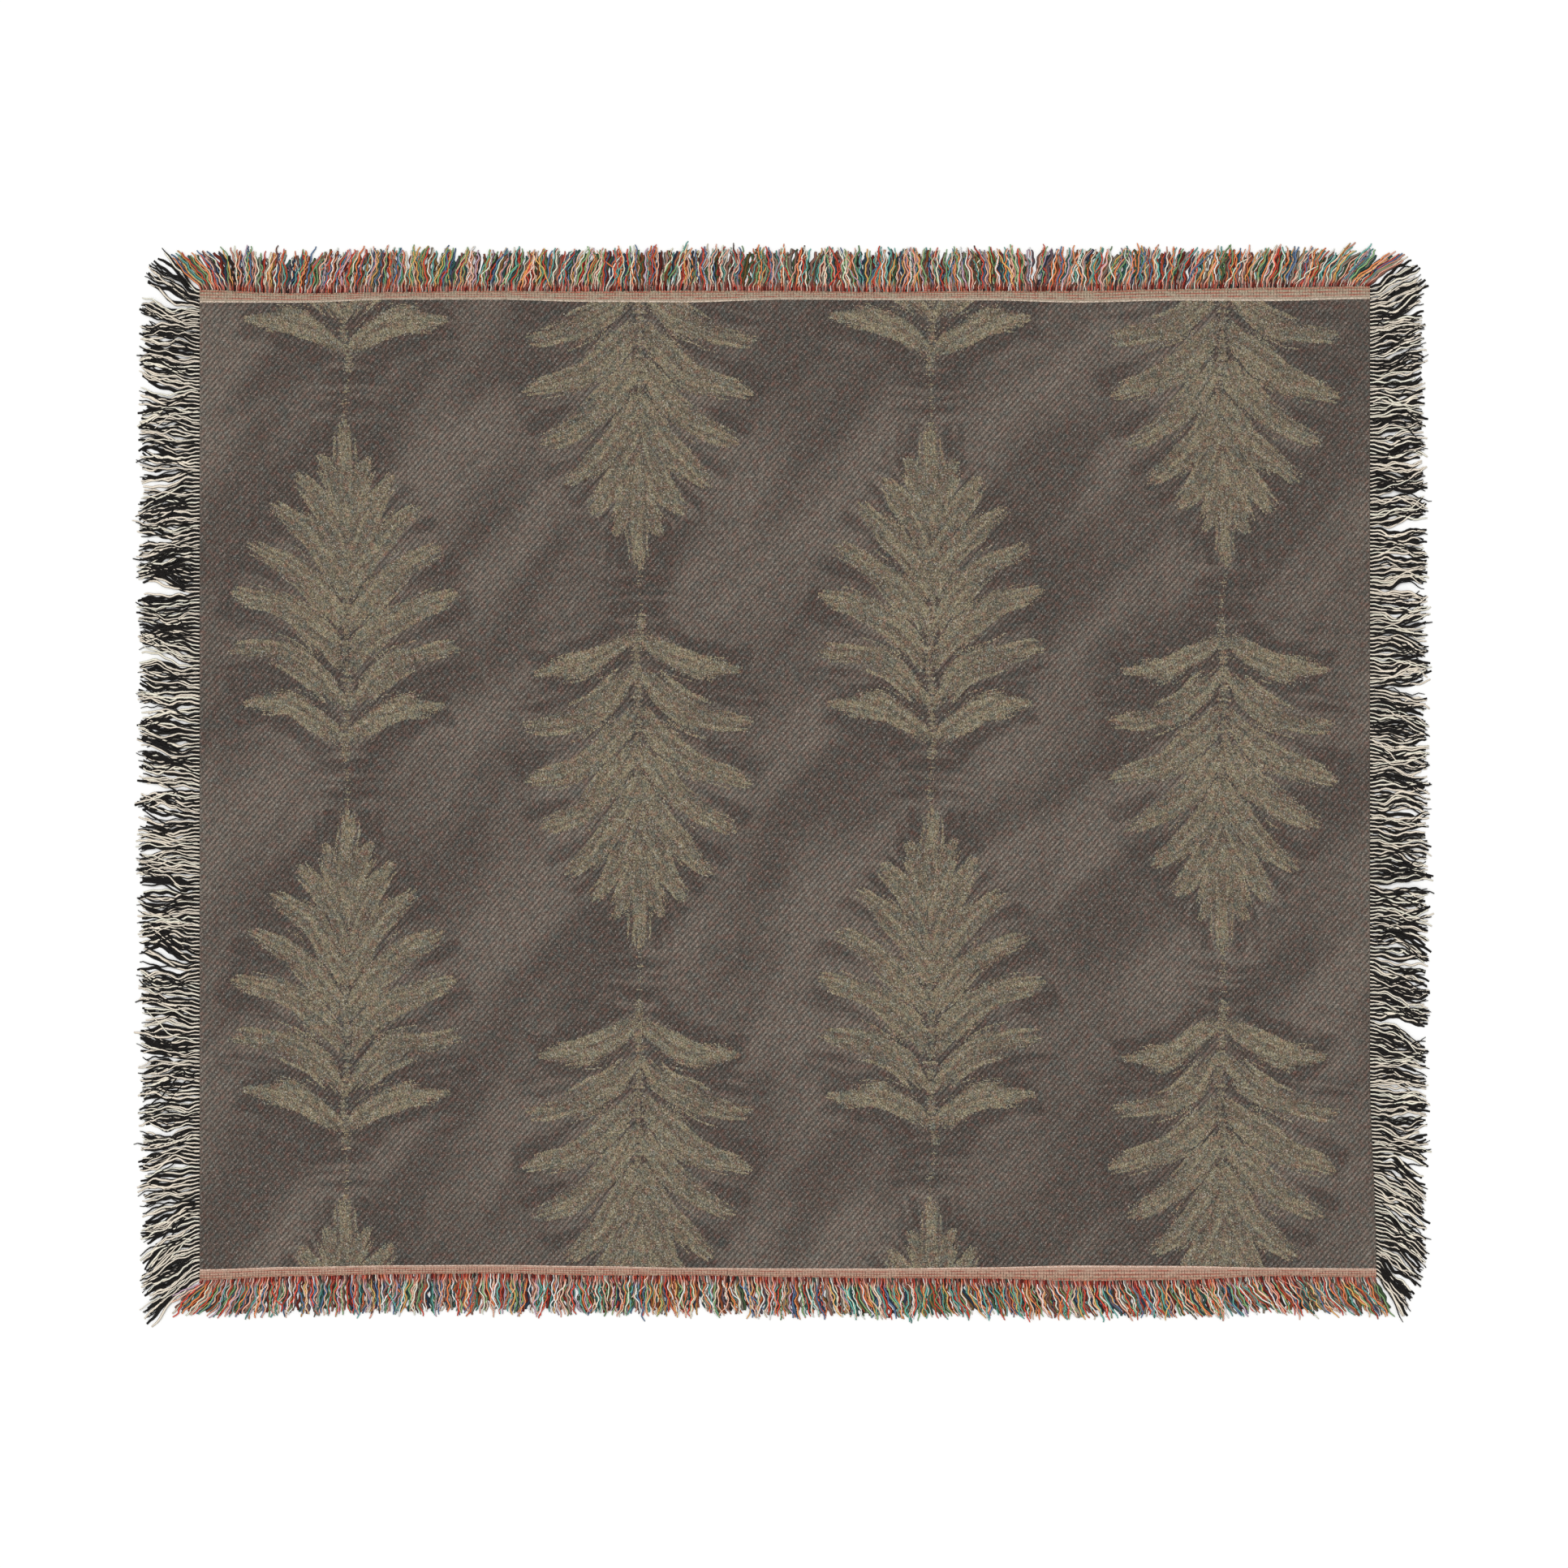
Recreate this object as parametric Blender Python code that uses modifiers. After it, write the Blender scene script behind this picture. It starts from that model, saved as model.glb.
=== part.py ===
"""A woven throw blanket, 60 by 50 inches over its fringes, lying flat and face up.

The throw is one piece of figured cloth. Its warp runs along Y and its weft along X. At the back
and front the cloth ends in a ribbed heading, from which the warp hangs out as a short fringe. At
the left and right it ends in a narrow selvedge, from which the weft hangs out as a longer one.
Each fringe is a row of locks grown out of its own heading or selvedge, and that strip is parted
from the cloth by a hair's breadth, so the throw is five solids:

    woven_panel               the cloth
    heading_fringe_back       heading and warp fringe, far side
    heading_fringe_front      heading and warp fringe, near side
    selvedge_fringe_left      selvedge and weft fringe
    selvedge_fringe_right     selvedge and weft fringe

Frame: metres, X to the right, Y to the back, Z up. The origin is on the underside, at the middle
of the cloth.
"""

import math
import random
from collections import namedtuple

import bmesh
import bpy
from mathutils import Vector

MM = 0.001

# Driving dimensions, in metres
CLOTH_WIDTH = 1.384  # selvedge to selvedge, along X
CLOTH_DEPTH = 1.1425  # heading to heading, along Y
HEADING_DEPTH = 0.0122
SELVEDGE_WIDTH = 0.006
PARTING = 0.0003  # between two strips of the one cloth

CLOTH_THICKNESS = 0.0022
HEADING_THICKNESS = 0.0016
HEADING_RIBS = 3
RIB_HEIGHT = 0.0006
SELVEDGE_THICKNESS = 0.0020
EDGE_ROUNDING = 0.0005

LOCKS_A_STEP = 3  # locks of yarn to each step of the strip they grow from
LOCK_GAP_ROOT = 0.0014
LOCK_GAP_TIP = 0.0038
LOCK_WIDEST = 0.0195
LOCK_SHOULDER = 0.22  # share of its width that a lock loses on each side, floor to top
LOCK_SHORTEST = 0.94  # share of the length that the tables below give
LOCK_LONGEST = 1.03

# The sections of a lock, from its root outwards: how far along it each lies, the share of its full
# width that it keeps there, and its height in metres.
LockSection = namedtuple("LockSection", "share width height")
LOCK_SECTIONS = [
    LockSection(0.12, 1.00, 0.0032),
    LockSection(0.46, 1.00, 0.0030),
    LockSection(0.82, 0.94, 0.0026),
    LockSection(1.00, 0.58, 0.0018),
]

# A yarn leaves the cloth squarely and bends towards its lean, then waves from side to side.
BEND_POWER = 1.35
SWAY = 0.0014
SWAY_WAVES = 0.85
SWAY_DRIFT = 0.150  # distance along the edge over which the sway comes back to the same phase

HALF_WIDTH = CLOTH_WIDTH / 2
HALF_DEPTH = CLOTH_DEPTH / 2
PANEL_REACH = HALF_WIDTH - SELVEDGE_WIDTH  # from the middle to where the selvedges are parted
LONG_STEPS = 22  # along the cloth and its headings, which share their edge lines
SELVEDGE_STEPS = 18

# How the four long lines of the cloth wander as it lies, in millimetres towards the back, from
# the left selvedge to the right one at even steps.
EdgeWave = namedtuple("EdgeWave", "heading_back cloth_back cloth_front heading_front")
EDGE_WAVES = [
    EdgeWave(1.4, -1.9, -2.9, -3.8),
    EdgeWave(-2.9, -1.9, 0.0, 1.0),
    EdgeWave(-1.4, 1.9, 1.9, 3.4),
    EdgeWave(0.0, 1.9, 2.4, 4.3),
    EdgeWave(-0.5, -1.0, 1.0, 1.9),
    EdgeWave(0.5, -1.7, -1.0, 1.9),
    EdgeWave(0.0, 1.9, -1.9, 0.0),
    EdgeWave(-1.4, 1.4, -1.9, -1.4),
    EdgeWave(0.0, 1.0, -0.5, -1.9),
    EdgeWave(0.0, -1.9, 1.9, -4.8),
    EdgeWave(2.4, 0.5, 1.4, -3.8),
    EdgeWave(4.3, 0.0, -1.0, 1.0),
    EdgeWave(5.8, 2.4, -1.9, -0.5),
]

# How far the right selvedge flares out near the front corner, where its weft is looser.
FLARE_WIDTH = 0.0075
FLARE_FROM = -0.330
FLARE_TO = -0.570

# How each fringe lies: a station along its edge in metres, the yarn's lean away from square in
# degrees, towards +X on the back and front and towards +Y on the left and right, and its length in
# millimetres. Two close rows with unlike leans are a parting.
Lay = namedtuple("Lay", "station lean length")
LAY_BACK = [
    Lay(-0.692, -41, 57),
    Lay(-0.656, -17, 52),
    Lay(-0.643, 5, 50),
    Lay(-0.554, 11, 51),
    Lay(-0.448, 3, 52),
    Lay(-0.314, 13, 50),
    Lay(-0.103, 5, 51),
    Lay(0.283, -4, 51),
    Lay(0.299, 12, 51),
    Lay(0.353, 16, 52),
    Lay(0.400, 7, 51),
    Lay(0.512, 12, 48),
    Lay(0.608, 20, 49),
    Lay(0.656, 38, 53),
    Lay(0.692, 54, 58),
]
LAY_FRONT = [
    Lay(-0.692, -43, 54),
    Lay(-0.655, -30, 51),
    Lay(-0.628, -12, 48),
    Lay(-0.570, -4, 46),
    Lay(-0.352, -2, 47),
    Lay(-0.064, 5, 46),
    Lay(0.100, 12, 50),
    Lay(0.160, 8, 48),
    Lay(0.212, 20, 47),
    Lay(0.400, 17, 46),
    Lay(0.512, 26, 49),
    Lay(0.608, 29, 52),
    Lay(0.660, 17, 48),
    Lay(0.692, 9, 44),
]
LAY_LEFT = [
    Lay(-0.586, -41, 80),
    Lay(-0.550, -31, 78),
    Lay(-0.520, -22, 74),
    Lay(-0.497, -15, 70),
    Lay(-0.482, -4, 69),
    Lay(-0.330, -3, 69),
    Lay(-0.240, 8, 70),
    Lay(-0.120, 1, 72),
    Lay(0.145, 9, 71),
    Lay(0.300, -6, 72),
    Lay(0.425, -1, 71),
    Lay(0.440, 4, 70),
    Lay(0.545, 6, 69),
    Lay(0.561, 9, 68),
    Lay(0.566, 32, 70),
    Lay(0.588, 42, 68),
]
LAY_RIGHT = [
    Lay(-0.586, -52, 56),
    Lay(-0.562, -42, 63),
    Lay(-0.520, -28, 68),
    Lay(-0.455, -25, 68),
    Lay(-0.400, -7, 66),
    Lay(-0.300, -9, 67),
    Lay(-0.284, -15, 69),
    Lay(-0.240, -13, 69),
    Lay(-0.100, -2, 69),
    Lay(0.105, -6, 68),
    Lay(0.160, 0, 67),
    Lay(0.290, 7, 67),
    Lay(0.390, 1, 64),
    Lay(0.540, 13, 64),
    Lay(0.572, 20, 66),
    Lay(0.592, 25, 66),
]

# Names and base colours of the three finishes
CLOTH = "grey brown cloth"
WARP = "russet and teal warp yarn"
WEFT = "black and cream weft yarn"
COLOURS = {
    CLOTH: (0.115, 0.098, 0.084, 1.0),
    WARP: (0.300, 0.160, 0.115, 1.0),
    WEFT: (0.330, 0.305, 0.265, 1.0),
}
YARN_ROUGHNESS = 0.9


def smooth_step(low, high, value):
    """0 below low, 1 above high, and an even S between; low may be the larger."""
    share = min(1.0, max(0.0, (value - low) / (high - low)))
    return share * share * (3 - 2 * share)


def wave(line, x):
    """How far one of the cloth's long lines lies from straight at x, in metres."""
    share = min(1.0, max(0.0, x / CLOTH_WIDTH + 0.5)) * (len(EDGE_WAVES) - 1)
    row = min(int(share), len(EDGE_WAVES) - 2)
    before, after = (getattr(EDGE_WAVES[i], line) for i in (row, row + 1))
    return MM * (before + (after - before) * smooth_step(0, 1, share - row))


def cloth_back(x):
    return HALF_DEPTH + wave("cloth_back", x)


def cloth_front(x):
    return -HALF_DEPTH + wave("cloth_front", x)


def heading_back(x):
    return HALF_DEPTH + HEADING_DEPTH + wave("heading_back", x)


def heading_front(x):
    return -HALF_DEPTH - HEADING_DEPTH + wave("heading_front", x)


def selvedge_left(y):
    return -HALF_WIDTH


def selvedge_right(y):
    return HALF_WIDTH + FLARE_WIDTH * smooth_step(FLARE_FROM, FLARE_TO, y)


# A side of the throw: where its fringe is rooted, which way the fringe points, how it lies, and
# the seed of its uneven lengths.
Side = namedtuple("Side", "edge outward along_x lays seed")
SIDES = {
    "back": Side(heading_back, 1, True, LAY_BACK, 21),
    "front": Side(heading_front, -1, True, LAY_FRONT, 22),
    "left": Side(selvedge_left, -1, False, LAY_LEFT, 23),
    "right": Side(selvedge_right, 1, False, LAY_RIGHT, 24),
}


def lay_at(side, station):
    """The lean in radians and the length in metres of the yarns at a station."""
    rows = side.lays
    station = min(rows[-1].station, max(rows[0].station, station))
    after = next(i for i, row in enumerate(rows) if row.station >= station and i > 0)
    low, high = rows[after - 1], rows[after]
    share = smooth_step(low.station, high.station, station)
    lean = low.lean + (high.lean - low.lean) * share
    length = low.length + (high.length - low.length) * share
    return math.radians(lean), MM * length


def yarn_point(side, station, share, stretch):
    """The place in plan of a yarn rooted at a station, a share of the way from root to tip.

    It goes out in even steps, and along by a power of the share, so that it starts squarely. A
    slow wave carries it and its neighbours from side to side together.
    """
    lean, length = lay_at(side, station)
    length *= stretch
    sway = SWAY * math.sin(2 * math.pi * (SWAY_WAVES * share + station / SWAY_DRIFT)) * share
    along = station + length * math.sin(lean) * share**BEND_POWER + sway
    out = side.edge(station) + side.outward * length * math.cos(lean) * share
    return (along, out) if side.along_x else (out, along)


def new_object(name, bm, colour):
    """A closed mesh as a named object in the throw's collection, with its own material."""
    bmesh.ops.recalc_face_normals(bm, faces=bm.faces)
    mesh = bpy.data.meshes.new(name)
    bm.to_mesh(mesh)
    bm.free()
    piece = bpy.data.objects.new(name, mesh)
    collection.objects.link(piece)
    material = bpy.data.materials.new(name)
    material.use_nodes = True
    shader = material.node_tree.nodes["Principled BSDF"]
    shader.inputs["Base Color"].default_value = COLOURS[colour]
    shader.inputs["Roughness"].default_value = YARN_ROUGHNESS
    shader.inputs["Metallic"].default_value = 0.0
    mesh.materials.append(material)
    return piece


def grid_slab(bm, columns, rows, top):
    """A slab that lies on the floor: a grid placed by top(across, up), then let down to Z 0.

    across and up run from 0 to 1 over the grid.
    """
    bmesh.ops.create_grid(bm, x_segments=columns, y_segments=rows, size=0.5)
    for v in bm.verts:
        v.co = top(v.co.x + 0.5, v.co.y + 0.5)
    let_down = bmesh.ops.extrude_face_region(bm, geom=list(bm.faces))["geom"]
    for v in let_down:
        if isinstance(v, bmesh.types.BMVert):
            v.co.z = 0.0


def rounded(piece):
    """Softens the cut edges of a piece of cloth."""
    bevel = piece.modifiers.new("soft edge", "BEVEL")
    bevel.width = EDGE_ROUNDING
    bevel.segments = 1
    bevel.limit_method = "ANGLE"
    bevel.angle_limit = math.radians(60)
    return piece


def woven_panel():
    """The cloth between its headings and selvedges."""

    def top(across, up):
        x = PANEL_REACH * (2 * across - 1)
        y = cloth_front(x) + (cloth_back(x) - cloth_front(x)) * up
        return x, y, CLOTH_THICKNESS

    bm = bmesh.new()
    grid_slab(bm, LONG_STEPS, 1, top)
    return rounded(new_object("woven_panel", bm, CLOTH))


def heading_fringe(name, inner, side):
    """A heading from the cloth's edge outwards, with its cords as raised ribs, and its fringe."""
    rows = 2 * HEADING_RIBS

    def top(across, up):
        x = PANEL_REACH * (2 * across - 1)
        parted = inner(x) + side.outward * PARTING
        crest = RIB_HEIGHT * (round(up * rows) % 2)
        return x, parted + (side.edge(x) - parted) * up, HEADING_THICKNESS + crest

    bm = bmesh.new()
    grid_slab(bm, LONG_STEPS, rows, top)
    grow_fringe(bm, side, -PANEL_REACH, PANEL_REACH, LONG_STEPS)
    return new_object(name, bm, WARP)


def selvedge_fringe(name, side):
    """A selvedge, as long as the cloth and both its headings, with its fringe."""
    inner = side.outward * (PANEL_REACH + PARTING)
    low, high = heading_front(inner), heading_back(inner)

    def top(across, up):
        y = low + (high - low) * up
        return inner + (side.edge(y) - inner) * across, y, SELVEDGE_THICKNESS

    bm = bmesh.new()
    grid_slab(bm, 1, SELVEDGE_STEPS, top)
    grow_fringe(bm, side, low, high, SELVEDGE_STEPS)
    return new_object(name, bm, WEFT)


def outer_faces(bm, side):
    """The upright faces along a strip's outer side, which face out within 45 degrees."""
    out_axis = 1 if side.along_x else 0
    return [f for f in bm.faces if f.normal[out_axis] * side.outward > math.cos(math.pi / 4)]


def divide_outer_side(bm, side, stations, root_width):
    """Cuts the strip's outer side at both borders of every lock, so that each root is one face."""
    along_edge = Vector((1, 0, 0) if side.along_x else (0, 1, 0))
    for station in stations:
        for border in (station - root_width / 2, station + root_width / 2):
            faces = outer_faces(bm, side)
            geom = list(dict.fromkeys(g for f in faces for g in (f, *f.edges, *f.verts)))
            bmesh.ops.bisect_plane(bm, geom=geom, plane_co=border * along_edge, plane_no=along_edge)


def lock_corners(side, station, pitch, section, stretch):
    """The four corners of one section of a lock, named by side, -1 or 1, and by whether at the top.

    The section lies across the lock between the paths of the yarns half a pitch to either side,
    less a gap that widens towards the tip.
    """
    ends = [yarn_point(side, station + half * pitch / 2, section.share, stretch) for half in (-1, 1)]
    (ax, ay), (bx, by) = ends
    width = math.hypot(bx - ax, by - ay)
    gap = LOCK_GAP_ROOT + (LOCK_GAP_TIP - LOCK_GAP_ROOT) * section.share
    kept = section.width * min(LOCK_WIDEST, width - gap) / width
    corners = {}
    for half in (-1, 1):
        for is_top in (False, True):
            reach = half * kept / 2 * (1 - 2 * LOCK_SHOULDER if is_top else 1)
            x = (ax + bx) / 2 + (bx - ax) * reach
            y = (ay + by) / 2 + (by - ay) * reach
            corners[half, is_top] = (x, y, section.height if is_top else 0.0)
    return corners


def draw_out_lock(bm, root, side, station, pitch, stretch):
    """Draws one four-sided lock of yarn out of its root face, a section at a time."""
    along = 0 if side.along_x else 1
    names = [(1 if v.co[along] > station else -1, v.co.z > 0) for v in root.verts]
    face = root
    for section in LOCK_SECTIONS:
        corners = lock_corners(side, station, pitch, section, stretch)
        face = bmesh.ops.extrude_discrete_faces(bm, faces=[face])["faces"][0]
        for v, name in zip(face.verts, names):
            v.co = corners[name]


def grow_fringe(bm, side, low, high, steps):
    """Draws the row of locks out of a strip's outer side, a few to each of the strip's steps."""
    count = steps * LOCKS_A_STEP
    pitch = (high - low) / count
    stations = [low + pitch * (i + 0.5) for i in range(count)]
    bmesh.ops.recalc_face_normals(bm, faces=bm.faces)
    divide_outer_side(bm, side, stations, pitch - LOCK_GAP_ROOT)

    along = 0 if side.along_x else 1
    middles = [(f, f.calc_center_median()[along]) for f in outer_faces(bm, side)]
    uneven = random.Random(side.seed)
    for station in stations:
        root = min(middles, key=lambda row: abs(row[1] - station))[0]
        stretch = uneven.uniform(LOCK_SHORTEST, LOCK_LONGEST)
        draw_out_lock(bm, root, side, station, pitch, stretch)


for old in list(bpy.data.objects):
    bpy.data.objects.remove(old)
collection = bpy.data.collections.new("throw_blanket")
bpy.context.scene.collection.children.link(collection)

woven_panel()

heading_fringe("heading_fringe_back", cloth_back, SIDES["back"])
heading_fringe("heading_fringe_front", cloth_front, SIDES["front"])
selvedge_fringe("selvedge_fringe_left", SIDES["left"])
selvedge_fringe("selvedge_fringe_right", SIDES["right"])
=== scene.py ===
# %% [markdown]
# A woven throw, laid out flat and seen from straight above.
#
# The real throw is one piece of jacquard cloth. Coloured warp yarns run up and down it, black and
# cream weft yarns run across it, and a loom that lifts each warp yarn by itself draws a leafy
# figure in khaki on taupe. Where the cloth stops, its own yarns go on as a fringe: the warp at the
# two headings, the weft at the two selvedges. This lesson makes the cloth, its headings and every
# yarn of the fringe, and it colours them with node materials alone.

from collections import namedtuple

import bpy
import numpy as np
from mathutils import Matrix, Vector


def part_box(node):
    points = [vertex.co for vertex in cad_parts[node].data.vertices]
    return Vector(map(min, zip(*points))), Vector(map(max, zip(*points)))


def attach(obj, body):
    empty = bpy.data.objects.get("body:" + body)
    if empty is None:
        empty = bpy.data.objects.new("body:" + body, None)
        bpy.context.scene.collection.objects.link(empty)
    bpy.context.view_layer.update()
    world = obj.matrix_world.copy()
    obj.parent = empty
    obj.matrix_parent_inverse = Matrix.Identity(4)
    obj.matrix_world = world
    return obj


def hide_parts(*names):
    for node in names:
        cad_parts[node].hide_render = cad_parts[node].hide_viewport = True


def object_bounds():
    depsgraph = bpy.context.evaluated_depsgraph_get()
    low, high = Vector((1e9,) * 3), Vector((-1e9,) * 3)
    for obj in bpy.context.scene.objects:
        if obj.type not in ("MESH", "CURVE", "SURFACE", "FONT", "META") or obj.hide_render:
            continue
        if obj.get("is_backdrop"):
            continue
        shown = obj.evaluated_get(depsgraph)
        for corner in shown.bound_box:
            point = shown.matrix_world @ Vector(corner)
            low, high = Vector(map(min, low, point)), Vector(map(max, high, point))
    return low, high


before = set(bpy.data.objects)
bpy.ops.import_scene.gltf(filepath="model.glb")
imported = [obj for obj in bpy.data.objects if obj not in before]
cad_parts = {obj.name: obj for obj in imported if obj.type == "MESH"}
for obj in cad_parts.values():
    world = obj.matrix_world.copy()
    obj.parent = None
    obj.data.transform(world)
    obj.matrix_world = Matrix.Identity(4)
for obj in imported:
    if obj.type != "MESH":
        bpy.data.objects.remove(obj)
solids_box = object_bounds()
print("nodes:", sorted(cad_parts))

# %% [markdown]
# First the sizes. The frame gives where the cloth ends and how thick it is. The places of the wavy
# long lines and the way each fringe lies are the same short tables as the solids have, because a
# throw that lies on a floor is never quite straight. Only at the two right corners do the loose
# yarns lean further than the solids' locks.

# %% Sizes from the frame
MM = 0.001
_, panel_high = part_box("woven_panel")
CLOTH_THICKNESS = panel_high.z
SELVEDGE_WIDTH = 6 * MM
HALF_WIDTH = panel_high.x + SELVEDGE_WIDTH
HALF_DEPTH = 1142.5 * MM / 2
HEADING_DEPTH = 12.2 * MM
FLARE_WIDTH, FLARE_FROM, FLARE_TO = 7.5 * MM, -0.330, -0.570
print(f"cloth {2 * HALF_WIDTH:.3f} by {2 * HALF_DEPTH:.4f} m, {CLOTH_THICKNESS / MM:.1f} mm thick")

# %% How the long lines wander
EdgeWave = namedtuple("EdgeWave", "heading_back cloth_back cloth_front heading_front")
EDGE_WAVES = [
    EdgeWave(1.4, -1.9, -2.9, -3.8),
    EdgeWave(-2.9, -1.9, 0.0, 1.0),
    EdgeWave(-1.4, 1.9, 1.9, 3.4),
    EdgeWave(0.0, 1.9, 2.4, 4.3),
    EdgeWave(-0.5, -1.0, 1.0, 1.9),
    EdgeWave(0.5, -1.7, -1.0, 1.9),
    EdgeWave(0.0, 1.9, -1.9, 0.0),
    EdgeWave(-1.4, 1.4, -1.9, -1.4),
    EdgeWave(0.0, 1.0, -0.5, -1.9),
    EdgeWave(0.0, -1.9, 1.9, -4.8),
    EdgeWave(2.4, 0.5, 1.4, -3.8),
    EdgeWave(4.3, 0.0, -1.0, 1.0),
    EdgeWave(5.8, 2.4, -1.9, -0.5),
]


def smooth_step(low, high, value):
    """0 below low, 1 above high, and 3ss - 2sss of the share s of the way between."""
    share = np.clip((value - low) / (high - low), 0, 1)
    return share * share * (3 - 2 * share)


def eased(places, values, at):
    """A table read at any place: from each row to the next by an even S of the way between."""
    places, values = np.asarray(places, float), np.asarray(values, float)
    row = np.clip(np.searchsorted(places, at) - 1, 0, len(places) - 2)
    share = smooth_step(places[row], places[row + 1], at)
    return values[row] + (values[row + 1] - values[row]) * share


def long_line(name, x):
    """One of the cloth's four long lines, as Y at each X: its straight place plus its wave."""
    straight = {
        "heading_back": HALF_DEPTH + HEADING_DEPTH,
        "cloth_back": HALF_DEPTH,
        "cloth_front": -HALF_DEPTH,
        "heading_front": -HALF_DEPTH - HEADING_DEPTH,
    }[name]
    places = np.linspace(-HALF_WIDTH, HALF_WIDTH, len(EDGE_WAVES))
    return straight + MM * eased(places, [getattr(row, name) for row in EDGE_WAVES], x)


def right_selvedge(y):
    """The right edge as X at each Y. It flares out near the front, where the weft is looser."""
    return HALF_WIDTH + FLARE_WIDTH * smooth_step(FLARE_FROM, FLARE_TO, y)


# %% How the fringes lie
Lay = namedtuple("Lay", "station lean length")
LAYS = {
    "back": [
        Lay(-0.692, -41, 57), Lay(-0.656, -17, 52), Lay(-0.643, 5, 50), Lay(-0.554, 11, 51),
        Lay(-0.448, 3, 52), Lay(-0.314, 13, 50), Lay(-0.103, 5, 51), Lay(0.283, -4, 51),
        Lay(0.299, 12, 51), Lay(0.353, 16, 52), Lay(0.400, 7, 51), Lay(0.512, 12, 48),
        Lay(0.608, 20, 49), Lay(0.656, 38, 53), Lay(0.692, 54, 58),
    ],
    "front": [
        Lay(-0.692, -43, 54), Lay(-0.655, -30, 51), Lay(-0.628, -12, 48), Lay(-0.570, -4, 46),
        Lay(-0.352, -2, 47), Lay(-0.064, 5, 46), Lay(0.100, 12, 50), Lay(0.160, 8, 48),
        Lay(0.212, 20, 47), Lay(0.400, 17, 46), Lay(0.512, 26, 49), Lay(0.608, 29, 52),
        Lay(0.660, 26, 50), Lay(0.692, 30, 50),
    ],
    "left": [
        Lay(-0.586, -41, 80), Lay(-0.550, -31, 78), Lay(-0.520, -22, 74), Lay(-0.497, -15, 70),
        Lay(-0.482, -4, 69), Lay(-0.330, -3, 69), Lay(-0.240, 8, 70), Lay(-0.120, 1, 72),
        Lay(0.145, 9, 71), Lay(0.300, -6, 72), Lay(0.425, -1, 71), Lay(0.440, 4, 70),
        Lay(0.545, 6, 69), Lay(0.561, 9, 68), Lay(0.566, 32, 70), Lay(0.588, 42, 68),
    ],
    "right": [
        Lay(-0.586, -62, 57), Lay(-0.562, -44, 63), Lay(-0.520, -28, 68), Lay(-0.455, -25, 68),
        Lay(-0.400, -7, 66), Lay(-0.300, -9, 67), Lay(-0.284, -15, 69), Lay(-0.240, -13, 69),
        Lay(-0.100, -2, 69), Lay(0.105, -6, 68), Lay(0.160, 0, 67), Lay(0.290, 7, 67),
        Lay(0.390, 1, 64), Lay(0.540, 13, 64), Lay(0.572, 22, 66), Lay(0.592, 36, 64),
    ],
}
for side, rows in LAYS.items():
    print(f"{side} fringe: {min(r.length for r in rows)} to {max(r.length for r in rows)} mm long")

# %% [markdown]
# The camera looks straight down with the throw's warp upright in the picture. A long lens keeps
# the edges square. The floor is plain and pale, and the light is soft and comes from all round,
# with a little more of it from the back left so that each yarn has a lit side.

# %% Camera, floor and light
PICTURE_SIDE = 1932 * 0.96 * MM  # what the whole picture takes in, at 0.96 mm to a pixel
LENS, SENSOR = 100.0, 36.0
CAMERA_X = -1 * MM  # the picture's middle lies a little to the left of the throw's
SUN_STRENGTH, SUN_WIDTH, SUN_TILT = 1.0, 40, (-24, -22, 0)  # the last two in degrees
SKY_STRENGTH = 0.82

camera = bpy.data.objects.new("camera", bpy.data.cameras.new("camera"))
camera.data.lens = LENS
camera.data.sensor_width = SENSOR
camera.location = (CAMERA_X, 0, PICTURE_SIDE * LENS / SENSOR)
camera.data.clip_end = 100
bpy.context.scene.collection.objects.link(camera)
bpy.context.scene.camera = camera
bpy.context.scene.view_settings.view_transform = "Standard"
print(f"camera {camera.location.z:.2f} m above the throw")

soft_box = bpy.data.objects.new("soft_box", bpy.data.lights.new("soft_box", "SUN"))
soft_box.data.energy = SUN_STRENGTH
soft_box.data.angle = np.radians(SUN_WIDTH)
soft_box.rotation_euler = np.radians(SUN_TILT)
bpy.context.scene.collection.objects.link(soft_box)
world = bpy.data.worlds.new("studio")
world.use_nodes = True
sky = world.node_tree.nodes["Background"].inputs
sky["Color"].default_value = (1, 1, 1, 1)
sky["Strength"].default_value = SKY_STRENGTH
bpy.context.scene.world = world

# %% [markdown]
# A few small pens for node trees. The first adds a node and feeds its inputs, with a plain value or
# with another node's output, and the second finds the tree by the outputs that feed the node. The
# others write a sum, a blend of colours or a noise in one line each, so that a material reads like
# the recipe it is.

# %% Pens for node trees
def add(tree, kind, feeds=None, **options):
    """A new node, with its options set and its inputs fed by values or by sockets."""
    made = tree.nodes.new(kind)
    for option, value in options.items():
        setattr(made, option, value)
    for name, value in (feeds or {}).items():
        if isinstance(value, bpy.types.NodeSocket):
            tree.links.new(value, made.inputs[name])
        else:
            made.inputs[name].default_value = value
    return made


def after(kind, feeds, **options):
    """The outputs of a new node, in the same tree as the sockets that feed it."""
    fed = next(value for value in feeds.values() if isinstance(value, bpy.types.NodeSocket))
    return add(fed.id_data, kind, feeds, **options).outputs


def reckon(operation, *values):
    """One sum on numbers."""
    return after("ShaderNodeMath", dict(enumerate(values)), operation=operation)[0]


def times(*factors):
    """All the factors multiplied together."""
    product = factors[0]
    for factor in factors[1:]:
        product = reckon("MULTIPLY", product, factor)
    return product


def linear(value, slope, start):
    """A start plus a slope times a value."""
    return reckon("MULTIPLY_ADD", value, slope, start)


def vector(operation, *values):
    """One sum on vectors."""
    return after("ShaderNodeVectorMath", dict(enumerate(values)), operation=operation)[0]


def parts(place):
    """A vector's X, Y and Z."""
    return after("ShaderNodeSeparateXYZ", {0: place})


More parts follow.
